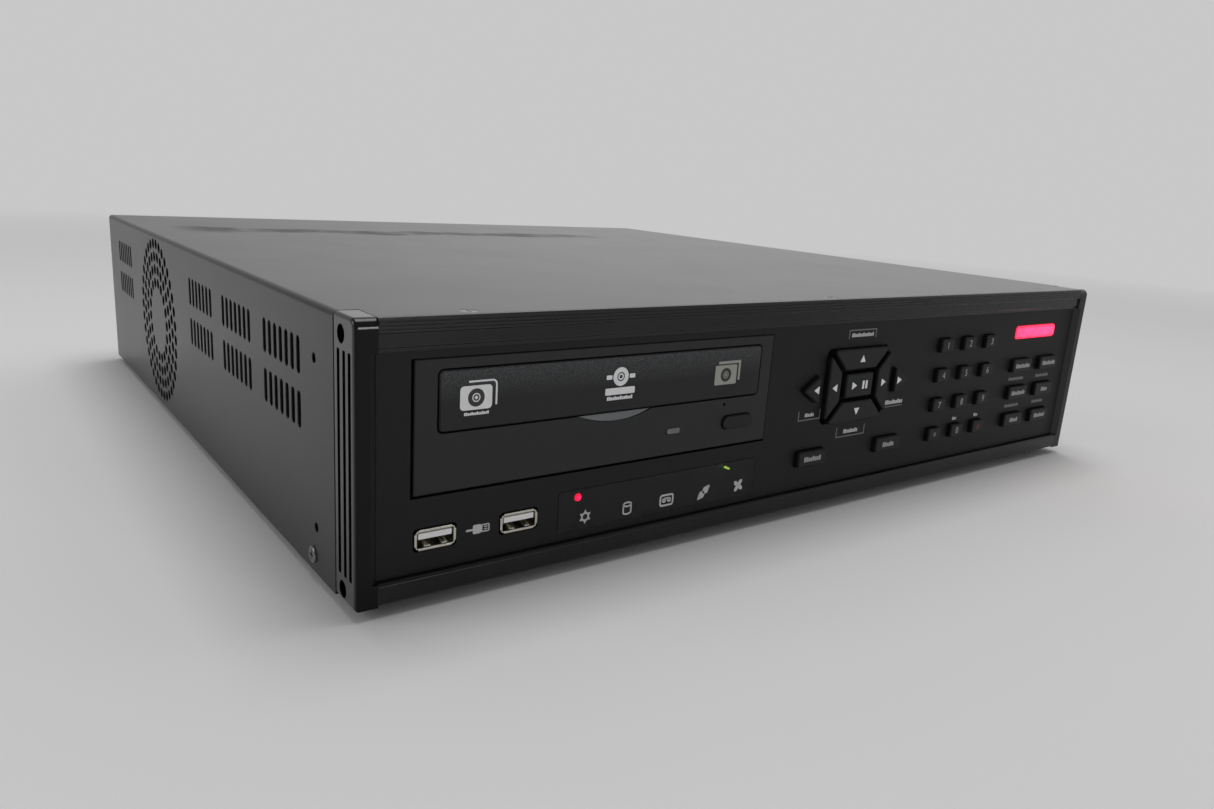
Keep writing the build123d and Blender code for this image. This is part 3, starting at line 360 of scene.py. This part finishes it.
def indicator_lamp():
    """Five lamps: the first glows red, the last has a small green chip lit and the others are off."""
    material, tree, shader = new_material("indicator_lamp")
    low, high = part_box("indicator_leds")
    radius = (high.z - low.z) / 2
    middle = (low.z + high.z) / 2
    first = glow_spot(tree, low.x + radius, middle, 0.98 * radius)
    last = glow_spot(tree, high.x - 1.95 * radius, middle + 0.0002, 0.42 * radius)
    off = mixed(tree, noise(tree, 0.5 * MM), grey(0.05), grey(0.09))
    tree.links.new(off, shader.inputs["Base Color"])
    hue = mapped(tree, last, 0.0, 0.01, 0.0, 1.0)
    glow = mixed(tree, hue, RED_GLOW, GREEN_GLOW)
    tree.links.new(glow, shader.inputs["Emission Color"])
    power = math_node(tree, "ADD", math_node(tree, "MULTIPLY", first, RED_LAMP),
                      math_node(tree, "MULTIPLY", last, GREEN_LAMP))
    tree.links.new(power, shader.inputs["Emission Strength"])
    shader.inputs["Roughness"].default_value = 0.2
    return material


def light_bar_glow():
    """A diffuser lit from behind: hot pink, and deep red round its edge."""
    material, tree, shader = new_material("light_bar_glow")
    low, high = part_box("light_bar")
    across = within(tree, axis_value(tree, "X"), low.x + BAR_BORDER, high.x - BAR_BORDER, BAR_BORDER)
    upward = within(tree, axis_value(tree, "Z"), low.z + BAR_BORDER, high.z - BAR_BORDER, BAR_BORDER)
    cloud = mapped(tree, noise(tree, 0.004), 0.35, 0.65, 0.6, 1.0)
    middle = math_node(tree, "MULTIPLY", math_node(tree, "MULTIPLY", across, upward), cloud)
    tree.links.new(mixed(tree, middle, BAR_RIM, BAR_MIDDLE), shader.inputs["Emission Color"])
    shader.inputs["Emission Strength"].default_value = BAR_GLOW
    plastic = mixed(tree, middle, (0.2, 0.01, 0.03, 1), (0.3, 0.02, 0.06, 1))
    tree.links.new(plastic, shader.inputs["Base Color"])
    shader.inputs["Roughness"].default_value = 0.35
    return material


def circuit_green():
    """Solder mask over a maze of tracks."""
    material, tree, shader = new_material("circuit_green")
    place = node(tree, "ShaderNodeTexCoord").outputs["Object"]
    bricks = {"Vector": place, "Scale": 320.0, "Mortar Size": 0.06,
              "Color1": grey(0.0), "Color2": grey(0.0), "Mortar": grey(1.0)}
    tracks = node(tree, "ShaderNodeTexBrick", bricks)
    colour = mixed(tree, tracks.outputs["Color"], (0.012, 0.085, 0.035, 1), (0.03, 0.17, 0.07, 1))
    tree.links.new(colour, shader.inputs["Base Color"])
    bump = node(tree, "ShaderNodeBump", {"Height": tracks.outputs["Color"], "Distance": 0.02 * MM})
    tree.links.new(bump.outputs["Normal"], shader.inputs["Normal"])
    tree.links.new(mapped(tree, noise(tree, 0.01), 0.3, 0.7, 0.28, 0.40), shader.inputs["Roughness"])
    return material


def slot_materials():
    """Each material slot's finish, by the slot's name."""
    return {
        "case_paint": case_paint(),
        "zinc_steel": zinc_steel(),
        "foot_rubber": finish("foot_rubber", (0.018, 0.018, 0.018), 0.72, 0.8, 0.04),
        "screw_steel": finish("screw_steel", (0.26, 0.26, 0.26), 0.30, 0.25, 0.01, Metallic=1.0),
        # The frame's edges are painted five times lighter: mostly painted highlights along the ribs and
        # rails, partly wear.
        "frame_black": finish("frame_black", (0.0098, 0.0101, 0.0101), 0.27, 0.35, 0.010, mottle=0.14,
                              edge=0.45, wear_and_highlight=5.0, Specular_IOR_Level=0.25),
        "cap_black": cap_black(),
        "panel_black": finish("panel_black", (0.0086, 0.0090, 0.0093), 0.52, 0.45, 0.03, mottle=0.16,
                              wear_and_highlight=1.5, Specular_IOR_Level=0.19),
        "smoked_window": smoked_window(),
        "indicator_lamp": indicator_lamp(),
        "light_bar_glow": light_bar_glow(),
        "circuit_green": circuit_green(),
        "nickel_shell": finish("nickel_shell", (0.56, 0.54, 0.48), 0.26, 0.5, 0.006, wear_and_highlight=1.15,
                               Metallic=1.0),
        "ivory_plastic": finish("ivory_plastic", (0.86, 0.85, 0.84), 0.42, 0.4, 0.01, mottle=0.03),
        "drive_black": finish("drive_black", (0.0142, 0.0146, 0.0151), 0.56, 0.35, 0.03, mottle=0.18,
                              Specular_IOR_Level=0.32),
        "door_black": door_black(),
        "tray_plastic": finish("tray_plastic", (0.030, 0.030, 0.031), 0.50, 0.5, 0.02),
        "black_plastic": finish("black_plastic", (0.014, 0.014, 0.014), 0.50, 0.6, 0.02),
        "key_black": finish("key_black", (0.0108, 0.0112, 0.0119), 0.50, 0.35, 0.02, mottle=0.15, wear_and_highlight=1.5,
                            Specular_IOR_Level=0.22),
        "cast_aluminium": finish("cast_aluminium", (0.50, 0.51, 0.52), 0.46, 0.7, 0.04, Metallic=1.0),
        "lead_jacket": finish("lead_jacket", (0.020, 0.020, 0.020), 0.50, 0.6, 0.01),
    }


def dress_frame():
    """Gives every CAD node its slot's finish, and returns the finishes by slot."""
    finishes = slot_materials()
    for part in frame["record"]["subparts"]:
        materials = frame["nodes"][part["node"]].data.materials
        materials.clear()
        materials.append(finishes[part["material_slot"]])
    return finishes


def ink(name, level, tint=(1.0, 1.0, 1.02)):
    """Screen-printed ink with a slightly uneven coat."""
    return finish(name, tuple(level * c for c in tint), 0.55, 0.25, 0.004, mottle=0.06, edge=0.02, wear_and_highlight=1.0)


# ---- drawing flat marks, in millimetres ----
def arc(x, y, radius, radius_y=None, start=0.0, end=360.0, steps=28):
    """Points along an ellipse from the start angle to the end angle; a full turn isn't closed twice."""
    whole = abs(end - start) >= 360
    count = steps if whole else steps + 1
    angles = [math.radians(start + (end - start) * k / steps) for k in range(count)]
    return [(x + radius * math.cos(a), y + (radius_y or radius) * math.sin(a)) for a in angles]


def line(points, width, closed=False):
    """The quads of a line of that width through the points."""
    places = [Vector(p) for p in points]
    count = len(places)
    left, right = [], []
    for k, place in enumerate(places):
        directions = []
        if k > 0 or closed:
            directions.append((place - places[k - 1]).normalized())
        if k + 1 < count or closed:
            directions.append((places[(k + 1) % count] - place).normalized())
        along = sum(directions, Vector((0, 0))).normalized()
        across = Vector((-along.y, along.x)) * width / 2 / max(0.4, along.dot(directions[0]))
        left.append(place + across)
        right.append(place - across)
    spans = range(count if closed else count - 1)
    return [[left[k], right[k], right[(k + 1) % count], left[(k + 1) % count]] for k in spans]


def ring(x, y, radius, width, radius_y=None):
    """A closed round line about a centre."""
    return line(arc(x, y, radius, radius_y), width, closed=True)


def plate(x, y, width, height, radius=0.4):
    """The outline of a rounded rectangle about its centre."""
    corners = ((1, 1, 0), (-1, 1, 90), (-1, -1, 180), (1, -1, 270))
    points = []
    for side_x, side_y, start in corners:
        centre = (x + side_x * (width / 2 - radius), y + side_y * (height / 2 - radius))
        points += arc(*centre, radius, start=start, end=start + 90, steps=5)
    return points


def moved(shapes, x, y, turn=0.0):
    """Shapes turned about the origin by degrees, then moved."""
    c, s = math.cos(math.radians(turn)), math.sin(math.radians(turn))
    return [[(x + p[0] * c - p[1] * s, y + p[0] * s + p[1] * c) for p in shape] for shape in shapes]


def word_bar(width, height):
    """A row of close upright blocks of two heights that stands for a printed word."""
    count = max(3, round(width / (height * 0.62)))
    pitch = width / count
    blocks = []
    for k in range(count):
        tall = k == 0 or k % 3 == 1
        block = height if tall else height * 0.78
        x = -width / 2 + (k + 0.5) * pitch
        blocks.append(plate(x, (block - height) / 2, pitch * 0.84, block, height * 0.1))
    return blocks


def triangle(turn, size=3.4):
    """An arrowhead that points right before its turn."""
    half = size / 2
    return moved([[(-half * 0.8, -half), (half, 0), (-half * 0.8, half)]], 0, 0, turn)


def tray_outline(width, height, opening_up):
    """A U-shaped bracket line."""
    side = 1 if opening_up else -1
    points = [(-width / 2, side * height / 2), (-width / 2, -side * height / 2),
              (width / 2, -side * height / 2), (width / 2, side * height / 2)]
    return line(points, 0.45)


def lamp_icon():
    """A small ring with six rays."""
    rays = [moved([[(1.6, -0.55), (2.7, 0), (1.6, 0.55)]], 0, 0, 60 * k + 30) for k in range(6)]
    return ring(0, 0, 1.35, 0.65) + [shape for ray in rays for shape in ray]


def disk_icon():
    """A drum, as for a disk drive."""
    half, top, bottom = 1.75, 1.4, -1.5
    body = [(-half, top)] + arc(0, bottom, half, 0.75, start=180, end=360, steps=14) + [(half, top)]
    return ring(0, top, half, 0.6, radius_y=0.75) + line(body, 0.6)


def tape_icon():
    """A cassette with its two reels."""
    frame_line = line(plate(0, 0, 6.0, 4.0, 0.9), 0.75, closed=True)
    reels = ring(-1.2, 0.0, 0.6, 0.7) + ring(1.2, 0.0, 0.6, 0.7)
    return frame_line + reels + line([(-1.2, 0.75), (1.2, 0.75)], 0.6)


def link_icon():
    """Two plugs that meet on a slant."""
    plug = [plate(1.05, 0, 1.3, 2.3, 0.3), plate(2.0, 0, 0.8, 1.6, 0.3)]
    pins = line([(0.05, 0.6), (0.45, 0.6)], 0.4) + line([(0.05, -0.6), (0.45, -0.6)], 0.4)
    cord = line([(2.3, 0), (3.1, 0)], 0.8)
    half = [[(x * 1.2, y * 1.25) for x, y in shape] for shape in plug + pins + cord]
    return moved(half, 0, 0, 42) + moved(half, 0, 0, 222)


def fan_icon():
    """Four blades."""
    blade = [arc(1.5, 0.25, 1.35, 0.85)]
    return [shape for k in range(4) for shape in moved(blade, 0, 0, 45 + 90 * k)]


def plug_icon():
    """A flat plug with its cord, for a data socket."""
    shell = line(plate(2.6, 0, 2.6, 2.3, 0.3), 0.4, closed=True)
    contacts = line([(2.1, 0.4), (3.3, 0.4)], 0.35) + line([(2.1, -0.4), (3.3, -0.4)], 0.35)
    body = [plate(-0.4, 0, 3.0, 3.1, 0.5)]
    return shell + contacts + body + line([(-4.3, 0), (-1.9, 0)], 0.7)


def disc_badge(radius):
    """A disc seen from above: a broad ring round a small one."""
    return ring(0, 0, radius * 0.74, radius * 0.5) + ring(0, 0, radius * 0.28, radius * 0.16)


# ---- making pieces ----
def mesh_piece(name, shape, material, body):
    """A bmesh as a named piece that rides on a body."""
    data = bpy.data.meshes.new(name)
    bmesh.ops.recalc_face_normals(shape, faces=shape.faces)
    shape.to_mesh(data)
    shape.free()
    data.materials.append(material)
    made = bpy.data.objects.new(name, data)
    bpy.context.scene.collection.objects.link(made)
    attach(made, body)
    return made


def prism(shape, outline, near, far):
    """Adds a closed solid between two copies of an outline, moved by near and by far."""
    front = [shape.verts.new(p + near) for p in outline]
    back = [shape.verts.new(p + far) for p in outline]
    shape.faces.new(front)
    shape.faces.new(reversed(back))
    for k in range(len(outline)):
        after = (k + 1) % len(outline)
        shape.faces.new((front[k], back[k], back[after], front[after]))


def printed(name, shapes, place, material, body="case", face=FRONT_FACE, height=INK_HEIGHT):
    """Flat ink on a face: shapes in millimetres about a place on the surface."""
    right, up, out = face
    shape = bmesh.new()
    for outline in shapes:
        points = [Vector(place) + (right * p[0] + up * p[1]) * MM for p in outline]
        prism(shape, points, out * height * MM, -out * INK_DEPTH * MM)
    mesh_piece(name, shape, material, body)


def digit(name, text, size, place, material, body="case", face=FRONT_FACE):
    """A printed number, from the built-in font."""
    curve = bpy.data.curves.new(name, "FONT")
    curve.body = text
    curve.size = size
    curve.align_x = "CENTER"
    curve.align_y = "CENTER"
    curve.resolution_u = 4
    source = bpy.data.objects.new(name, curve)
    bpy.context.scene.collection.objects.link(source)
    bpy.context.view_layer.update()
    flat = bpy.data.meshes.new_from_object(source.evaluated_get(bpy.context.evaluated_depsgraph_get()))
    bpy.data.objects.remove(source)
    shapes = [[tuple(flat.vertices[v].co.xy) for v in polygon.vertices] for polygon in flat.polygons]
    bpy.data.meshes.remove(flat)
    printed(name, shapes, place, material, body, face)


def face_spot(name, across=0.0, up=0.0):
    """A place on a node's foremost face: its centre, moved by millimetres."""
    low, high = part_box(name)
    return Vector(((low.x + high.x) / 2 + across * MM, low.y, (low.z + high.z) / 2 + up * MM))


def panel_spot(name, across=0.0, up=0.0):
    """A place on the front panel's face, measured from a node's centre in millimetres."""
    place = face_spot(name, across, up)
    place.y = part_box("front_panel")[0].y
    return place


def mount_place(name):
    """Where the record puts a mount."""
    found = next(mount for mount in frame["record"]["mounts"] if mount["name"] == name)
    return Vector(found["pos_m"])


# ---- front marks ----
def print_pad_marks(white):
    """Arrowheads on the direction keys and the two outer keys; an arrowhead and two bars in the middle."""
    arrows = {"up": 90, "down": -90, "left": 180, "right": 0}
    for name, turn in arrows.items():
        printed(f"mark_{name}", triangle(turn), face_spot(f"key_{name}"), white, f"key_{name}")
    printed("mark_rewind", triangle(180), face_spot("key_rewind", 2.3), white, "key_rewind")
    printed("mark_forward", triangle(0), face_spot("key_forward", -2.0), white, "key_forward")
    pause = [plate(2.4, 0, 1.3, 3.6, 0.15), plate(4.5, 0, 1.3, 3.6, 0.15)]
    printed("mark_play", moved(triangle(0), -3.6, 0) + pause, face_spot("key_play"), white, "key_play")


def print_key_marks(figure_ink, word_ink, warm):
    """Figures on the number keys, and word bars on the others."""
    for k in range(10):
        key = f"key_number_{k}"
        digit(f"mark_number_{k}", str(k), 4.4, face_spot(key), figure_ink, key)
    star_spot = face_spot("key_number_star", 0, -0.8)
    digit("mark_number_star", "*", 5.0, star_spot, figure_ink, "key_number_star")
    digit("mark_number_hash", "#", 4.0, face_spot("key_number_hash"), warm, "key_number_hash")
    widths = {"key_enter": 10.5, "key_exit": 8.0, "key_function_1": 13.0, "key_function_2": 12.5,
              "key_function_3": 12.5, "key_function_4": 6.0, "key_function_5": 7.5, "key_function_6": 10.5}
    for key, width in widths.items():
        printed(f"mark_{key[4:]}", word_bar(width, 2.2), face_spot(key), word_ink, key)


def print_panel_labels(pale, dim):
    """Words with bracket lines round the pad, and small words by the function and number keys."""
    labels = {
        "below_pad": (word_bar(9.5, 1.8), tray_outline(18.5, 4.4, True), panel_spot("key_down", 1.0, -9.4)),
        "left_of_pad": (word_bar(5.6, 1.6), tray_outline(13.0, 4.0, True),
                        panel_spot("key_rewind", 2.3, -10.9)),
        "above_pad": (moved(word_bar(14.5, 1.7), 0, -0.3), tray_outline(17.6, 3.6, False),
                      panel_spot("key_up", 1.0, 10.2)),
        "right_of_pad": (word_bar(12.5, 2.0), line([(-6.4, -2.0), (6.4, -2.0)], 0.4),
                         panel_spot("key_forward", -0.3, -10.6)),
    }
    for name, (words, bracket, place) in labels.items():
        printed(f"label_{name}", words, place, pale)
        printed(f"bracket_{name}", bracket, place, dim)
    for key, width in (("key_function_1", 14.0), ("key_function_2", 12.5),
                       ("key_function_3", 13.0), ("key_function_4", 11.0)):
        printed(f"label_under_{key[4:]}", word_bar(width, 1.7), panel_spot(key, 0, -7.2), dim)
    for key in ("key_number_0", "key_number_hash"):
        printed(f"label_over_{key[4:]}", word_bar(3.6, 1.6), panel_spot(key, 0, 5.6), pale)


def print_indicator_icons(pale):
    """An icon under each indicator lamp, and one between the data sockets."""
    low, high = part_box("indicator_leds")
    radius = (high.z - low.z) / 2
    pitch = (high.x - low.x - 2 * radius) / (LAMP_COUNT - 1)
    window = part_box("indicator_window")[0].y
    icons = {"power": lamp_icon(), "disk": disk_icon(), "record": tape_icon(), "network": link_icon(),
             "fan": fan_icon()}
    for k, (name, shapes) in enumerate(icons.items()):
        place = Vector((low.x + radius + k * pitch, window, (low.z + high.z) / 2 - ICON_DROP))
        printed(f"icon_{name}", shapes, place, pale)
    middle = (mount_place("usb_port_1") + mount_place("usb_port_2")) / 2
    middle.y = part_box("front_panel")[0].y
    printed("icon_data_socket", plug_icon(), middle, pale)


def print_door_badges(white, beige, dark):
    """Three plain disc marks in place of the drive's format marks."""
    low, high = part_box("tray_door")
    middle_z = (low.z + high.z) / 2
    places = {"left": low.x + BADGE_FROM_LEFT, "middle": (low.x + high.x) / 2,
              "right": high.x - BADGE_FROM_RIGHT}
    spots = {name: Vector((x, low.y, middle_z)) for name, x in places.items()}
    behind = [(-3.6, 5.5)] + arc(4.6, 4.1, 1.4, start=90, end=0, steps=5) + [(6.0, -2.4)]
    left = [plate(-1.0, 0.4, 11.0, 7.6, 1.3)] + line(behind, 0.6) + moved(word_bar(8.6, 1.0), -0.8, -4.6)
    printed("badge_left", left, spots["left"], white, "disc_drawer")
    left_disc = moved(disc_badge(2.9), -1.0, 0.4)
    printed("badge_left_disc", left_disc, spots["left"], dark, "disc_drawer", height=OVERPRINT_HEIGHT)
    side_bars = [plate(side * 4.9, 2.6, 2.4, 1.5, 0.3) for side in (-1, 1)]
    plain_plate = [plate(0, -2.4, 12.6, 2.4, 0.3)]
    middle = moved(disc_badge(3.3), 0, 2.6) + side_bars + plain_plate + moved(word_bar(11.0, 1.3), 0, -4.8)
    printed("badge_middle", middle, spots["middle"], white, "disc_drawer")
    stack = [plate(-0.8, -0.6, 11.0, 7.4, 0.5)] + line([(-4.8, 4.1), (6.0, 4.1), (6.0, -3.0)], 1.0)
    printed("badge_right", stack, spots["right"], beige, "disc_drawer")
    right_disc = moved(disc_badge(2.7), -0.8, -0.6)
    printed("badge_right_disc", right_disc, spots["right"], dark, "disc_drawer", height=OVERPRINT_HEIGHT)


# ---- small front parts ----
def crescent_insert(material):
    """The floor of the finger recess, which slopes out to the bezel's face at its lower edge."""
    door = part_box("tray_door")[0]
    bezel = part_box("drive_bezel")[0].y
    centre_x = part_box("drive_bezel")[0].x + SCOOP_ACROSS
    centre_z = door.z + SCOOP_RISE
    top = door.z - SCOOP_TOP_GAP
    reach = math.degrees(math.acos((centre_z - top) / SCOOP_RADIUS))
    rim = arc(centre_x, centre_z, SCOOP_RADIUS, start=270 - reach, end=270 + reach, steps=24)
    bottom = centre_z - SCOOP_RADIUS
    shape = bmesh.new()
    ground = [shape.verts.new((x, bezel + SCOOP_DEPTH, z)) for x, z in rim]
    fall = SCOOP_DEPTH * 0.8 / (top - bottom)
    slope = [shape.verts.new((x, bezel + fall * (z - bottom), z)) for x, z in rim]
    shape.faces.new(slope)
    shape.faces.new(reversed(ground))
    for k in range(len(rim)):
        after = (k + 1) % len(rim)
        shape.faces.new((slope[k], ground[k], ground[after], slope[after]))
    mesh_piece("finger_crescent", shape, material, "case")


def drive_lens(material):
    """The activity lamp's lens in the drive bezel."""
    low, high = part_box("eject_button")
    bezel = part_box("drive_bezel")[0].y
    across = (low.x + high.x) / 2 - LENS_FROM_BUTTON
    place = Vector((across, bezel, (low.z + high.z) / 2 - LENS_BELOW_BUTTON))
    outline = [place + Vector((x * MM, 0, z * MM)) for x, z in plate(0, 0, 5.9, 1.9, 0.5)]
    shape = bmesh.new()
    prism(shape, outline, Vector((0, -0.00005, 0)), Vector((0, 0.003, 0)))
    mesh_piece("drive_lamp_lens", shape, material, "case")


def strip(shape, profile, x0, x1, thickness):
    """Adds a bent strip: a profile of (y, z) points, extruded from x0 to x1."""
    for (ya, za), (yb, zb) in zip(profile, profile[1:]):
        outline = [Vector((x0, ya, za)), Vector((x1, ya, za)), Vector((x1, yb, zb)), Vector((x0, yb, zb))]
        prism(shape, outline, Vector((0, 0, 0)), Vector((0, 0, thickness)))


def socket_contacts(gold, nickel):
    """Four contacts under each socket's tongue, and two spring fingers in its floor."""
    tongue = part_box("usb_tongues")[0]
    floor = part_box("usb_shells")[0].z + SOCKET_FLOOR
    front = tongue.y
    under = tongue.z - CONTACT_THICK
    flat = [(front + 0.0004, under), (front + 0.0075, under)]
    sprung = [(front - 0.0006, floor), (front + 0.0012, floor + 0.0007), (front + 0.0028, floor + 0.0009),
              (front + 0.0052, floor + 0.0002), (front + 0.0065, floor)]
    contacts, springs = bmesh.new(), bmesh.new()
    for port in ("usb_port_1", "usb_port_2"):
        centre = mount_place(port)
        for k in range(4):
            x = centre.x + (k - 1.5) * CONTACT_PITCH
            strip(contacts, flat, x - CONTACT_HALF, x + CONTACT_HALF, CONTACT_THICK)
        for side in (-1, 1):
            x = centre.x + side * SPRING_FROM_MIDDLE
            strip(springs, sprung, x - SPRING_HALF, x + SPRING_HALF, SPRING_THICK)
    mesh_piece("usb_contacts", contacts, gold, "case")
    mesh_piece("usb_springs", springs, nickel, "case")


# ---- rear ----
def collar(shape, centre, radius, width, near, far):
    """Adds a round collar that reaches from near to far behind a place.

    radius and width are millimetres, and near and far are metres.
    """
    for points in ring(0, 0, radius, width):
        outline = [centre + Vector((x * MM, 0, z * MM)) for x, z in points]
        prism(shape, outline, Vector((0, near, 0)), Vector((0, far, 0)))


def video_sockets(white, gold, insulator):
    """Each video socket's number, insulator and contact, in two rows of eight."""
    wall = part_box("base_chassis")[1].y
    near, far = INSULATOR_SPAN
    insulators, contacts = bmesh.new(), bmesh.new()
    names = [f"video_socket_{row}_{k + 1}" for row in ("upper", "lower") for k in range(8)]
    for number, name in enumerate(names, start=1):
        tip = mount_place(name)
        above = Vector((tip.x, wall, tip.z + NUMBER_RISE))
        digit(f"rear_number_{number}", str(number), 4.0, above, white, face=REAR_FACE)
        centre = Vector((tip.x, wall, tip.z))
        collar(insulators, centre, 2.7, 2.3, near, far)
        collar(contacts, centre, 1.5, 0.35, far, PIN_TIP)
    mesh_piece("video_insulators", insulators, insulator, "case")
    mesh_piece("video_contacts", contacts, gold, "case")


def rear_details(white, gold, insulator, blue, coloured):
    """Numbers over the video sockets, and the inner parts of the rear sockets."""
    video_sockets(white, gold, insulator)
    network_contacts(gold)
    monitor_insert(blue)
    for name, material in zip(("audio_jack_lower", "audio_jack_upper"), coloured):
        tip = mount_place(name) + Vector((0, JACK_REACH, 0))
        printed(f"{name}_ring", ring(0, 0, 2.8, 1.5), tip, material, face=REAR_FACE, height=0.12)


def network_contacts(gold):
    """Eight sprung wires in the roof of the network socket."""
    place = mount_place("network_port")
    shape = bmesh.new()
    for k in range(8):
        x = place.x + (k - 3.5) * WIRE_PITCH
        profile = [(place.y - 0.0115, place.z + 0.0010), (place.y - 0.0035, place.z + 0.0032),
                   (place.y - 0.0020, place.z + 0.0038)]
        strip(shape, profile, x - WIRE_HALF, x + WIRE_HALF, WIRE_THICK)
    mesh_piece("network_contacts", shape, gold, "case")


def monitor_insert(blue):
    """The blue face of the monitor socket, with three rows of five holes shown as dark dots."""
    floor = mount_place("monitor_port") - Vector((0, INSERT_DEPTH, 0))
    outline = [(-8.2, 3.4), (8.2, 3.4), (9.2, -3.3), (-9.2, -3.3)]
    printed("monitor_insert", [outline], floor, blue, face=REAR_FACE, height=INSERT_HEIGHT)
    holes = [arc(-4.6 + k * 2.3 + row * 0.6 - 0.6, 1.9 - row * 1.9, 0.45, steps=10)
             for row in range(3) for k in range(5)]
    surface = floor + Vector((0, INSERT_HEIGHT * MM, 0))
    printed("monitor_holes", holes, surface, ink("hole_black", 0.004), face=REAR_FACE)


def rocker_marks(white):
    """A bar and a ring on the two halves of the power rocker."""
    low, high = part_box("power_rocker")
    middle = (low + high) / 2
    inset, apart = 0.0011, 0.0035
    upper = Vector((middle.x, high.y - inset, middle.z + apart))
    lower = Vector((middle.x, high.y - inset, middle.z - apart))
    printed("rocker_on_mark", [plate(0, 0, 0.7, 3.2, 0.1)], upper, white, "power_rocker", REAR_FACE)
    printed("rocker_off_mark", ring(0, 0, 1.3, 0.6), lower, white, "power_rocker", REAR_FACE)


# ---- stage ----
def make_lights():
    """A soft light overhead, a fill on the left, and a low strip that draws the front edges' highlights."""
    for name, (place, aim, size, watts) in SOFT_LIGHTS.items():
        light = bpy.data.lights.new(name, "AREA")
        light.shape = "RECTANGLE"
        light.size, light.size_y = size
        light.energy = watts
        made = bpy.data.objects.new(name, light)
        made.location = place
        made.rotation_euler = (Vector(aim) - Vector(place)).to_track_quat("-Z", "Y").to_euler()
        bpy.context.scene.collection.objects.link(made)


def make_world():
    """Pale surroundings: plain to the camera, and brightest to the right of the object and behind it."""
    world = bpy.data.worlds.new("surroundings")
    bpy.context.scene.world = world
    world.use_nodes = True
    tree = world.node_tree
    shader = tree.nodes["Background"]
    direction = node(tree, "ShaderNodeTexCoord").outputs["Generated"]
    towards = {0: direction, 1: Vector(BRIGHT_SIDE).normalized()}
    away = node(tree, "ShaderNodeVectorMath", towards, operation="DOT_PRODUCT").outputs["Value"]
    share = math_node(tree, "POWER", mapped(tree, away, -0.35, 0.95, 0.0, 1.0), 2.4)
    level = mapped(tree, share, 0.0, 1.0, DIM_LEVEL, BRIGHT_LEVEL)
    lighting = node(tree, "ShaderNodeCombineColor", {"Red": level, "Green": level, "Blue": level})
    seen = node(tree, "ShaderNodeLightPath").outputs["Is Camera Ray"]
    colour = mixed(tree, seen, lighting.outputs["Color"], grey(BACKGROUND))
    tree.links.new(colour, shader.inputs["Color"])
    shader.inputs["Strength"].default_value = 1.0


def make_floor():
    """A plain pale floor that fades into the background far from the object."""
    low = CAD_BOX[0]
    shape = bmesh.new()
    corners = ((-1, -1), (1, -1), (1, 1), (-1, 1))
    shape.faces.new([shape.verts.new((x * FLOOR_HALF, y * FLOOR_HALF, low[2])) for x, y in corners])
    data = bpy.data.meshes.new("floor")
    shape.to_mesh(data)
    shape.free()
    floor = bpy.data.objects.new("floor", data)
    bpy.context.scene.collection.objects.link(floor)
    material, tree, shader = new_material("floor_paint")
    cloud = mixed(tree, noise(tree, 0.5, detail=4.0), grey(0.83), grey(0.89))
    tree.links.new(cloud, shader.inputs["Base Color"])
    shader.inputs["Roughness"].default_value = 0.9
    shader.inputs["Specular IOR Level"].default_value = 0.0
    place = node(tree, "ShaderNodeTexCoord").outputs["Object"]
    distance = node(tree, "ShaderNodeVectorMath", {0: place}, operation="LENGTH").outputs["Value"]
    far = mapped(tree, distance, *FLOOR_FADE, 0.0, 1.0)
    backdrop = node(tree, "ShaderNodeEmission", {"Color": grey(BACKGROUND), "Strength": 1.0})
    layers = {0: far, 1: shader.outputs["BSDF"], 2: backdrop.outputs["Emission"]}
    blend = node(tree, "ShaderNodeMixShader", layers)
    tree.links.new(blend.outputs["Shader"], tree.nodes["Material Output"].inputs["Surface"])
    data.materials.append(material)


def make_camera():
    """The camera of the reference view."""
    lens = bpy.data.cameras.new("camera")
    lens.lens = CAMERA_LENS
    lens.clip_start = 0.01
    camera = bpy.data.objects.new("camera", lens)
    camera.location = CAMERA_PLACE
    camera.rotation_euler = [math.radians(a) for a in CAMERA_TURN]
    bpy.context.scene.collection.objects.link(camera)
    bpy.context.scene.camera = camera


def main():
    bpy.context.scene.view_settings.view_transform = "Standard"
    make_camera()
    make_world()
    make_lights()
    make_floor()
    finishes = dress_frame()
    white = ink("white_ink", 0.80)
    pale = ink("pale_ink", 0.52)
    figure_ink = ink("figure_ink", 0.37)
    word_ink = ink("word_ink", 0.34)
    dim = ink("dim_ink", 0.17)
    warm = ink("warm_ink", 0.20, (1.0, 0.25, 0.15))
    dark = ink("dark_ink", 0.016)
    beige = ink("beige_ink", 0.34, (1.0, 1.0, 0.9))
    gold = finish("gold_plate", (0.78, 0.55, 0.22), 0.24, 0.3, 0.003, Metallic=1.0)
    print_pad_marks(white)
    print_key_marks(figure_ink, word_ink, warm)
    print_panel_labels(pale, dim)
    print_indicator_icons(pale)
    print_door_badges(white, beige, dark)
    # The recess floor's light grey is a painted highlight: the light its upward-facing slope catches from
    # above.
    crescent_insert(finish("recess_painted_highlight", (0.140, 0.152, 0.156), 0.45, 0.35, 0.02))
    drive_lens(finish("lens_grey", (0.15, 0.15, 0.15), 0.28, 0.4, 0.01))
    socket_contacts(gold, finishes["nickel_shell"])
    insulator = finish("insulator_white", (0.55, 0.54, 0.50), 0.4, 0.4, 0.01)
    blue = finish("socket_blue", (0.01, 0.04, 0.22), 0.45, 0.4, 0.01)
    rings = [finish("jack_green", (0.10, 0.35, 0.08), 0.4, 0.4, 0.01),
             finish("jack_pink", (0.55, 0.12, 0.22), 0.4, 0.4, 0.01)]
    rear_details(pale, gold, insulator, blue, rings)
    rocker_marks(white)


main()
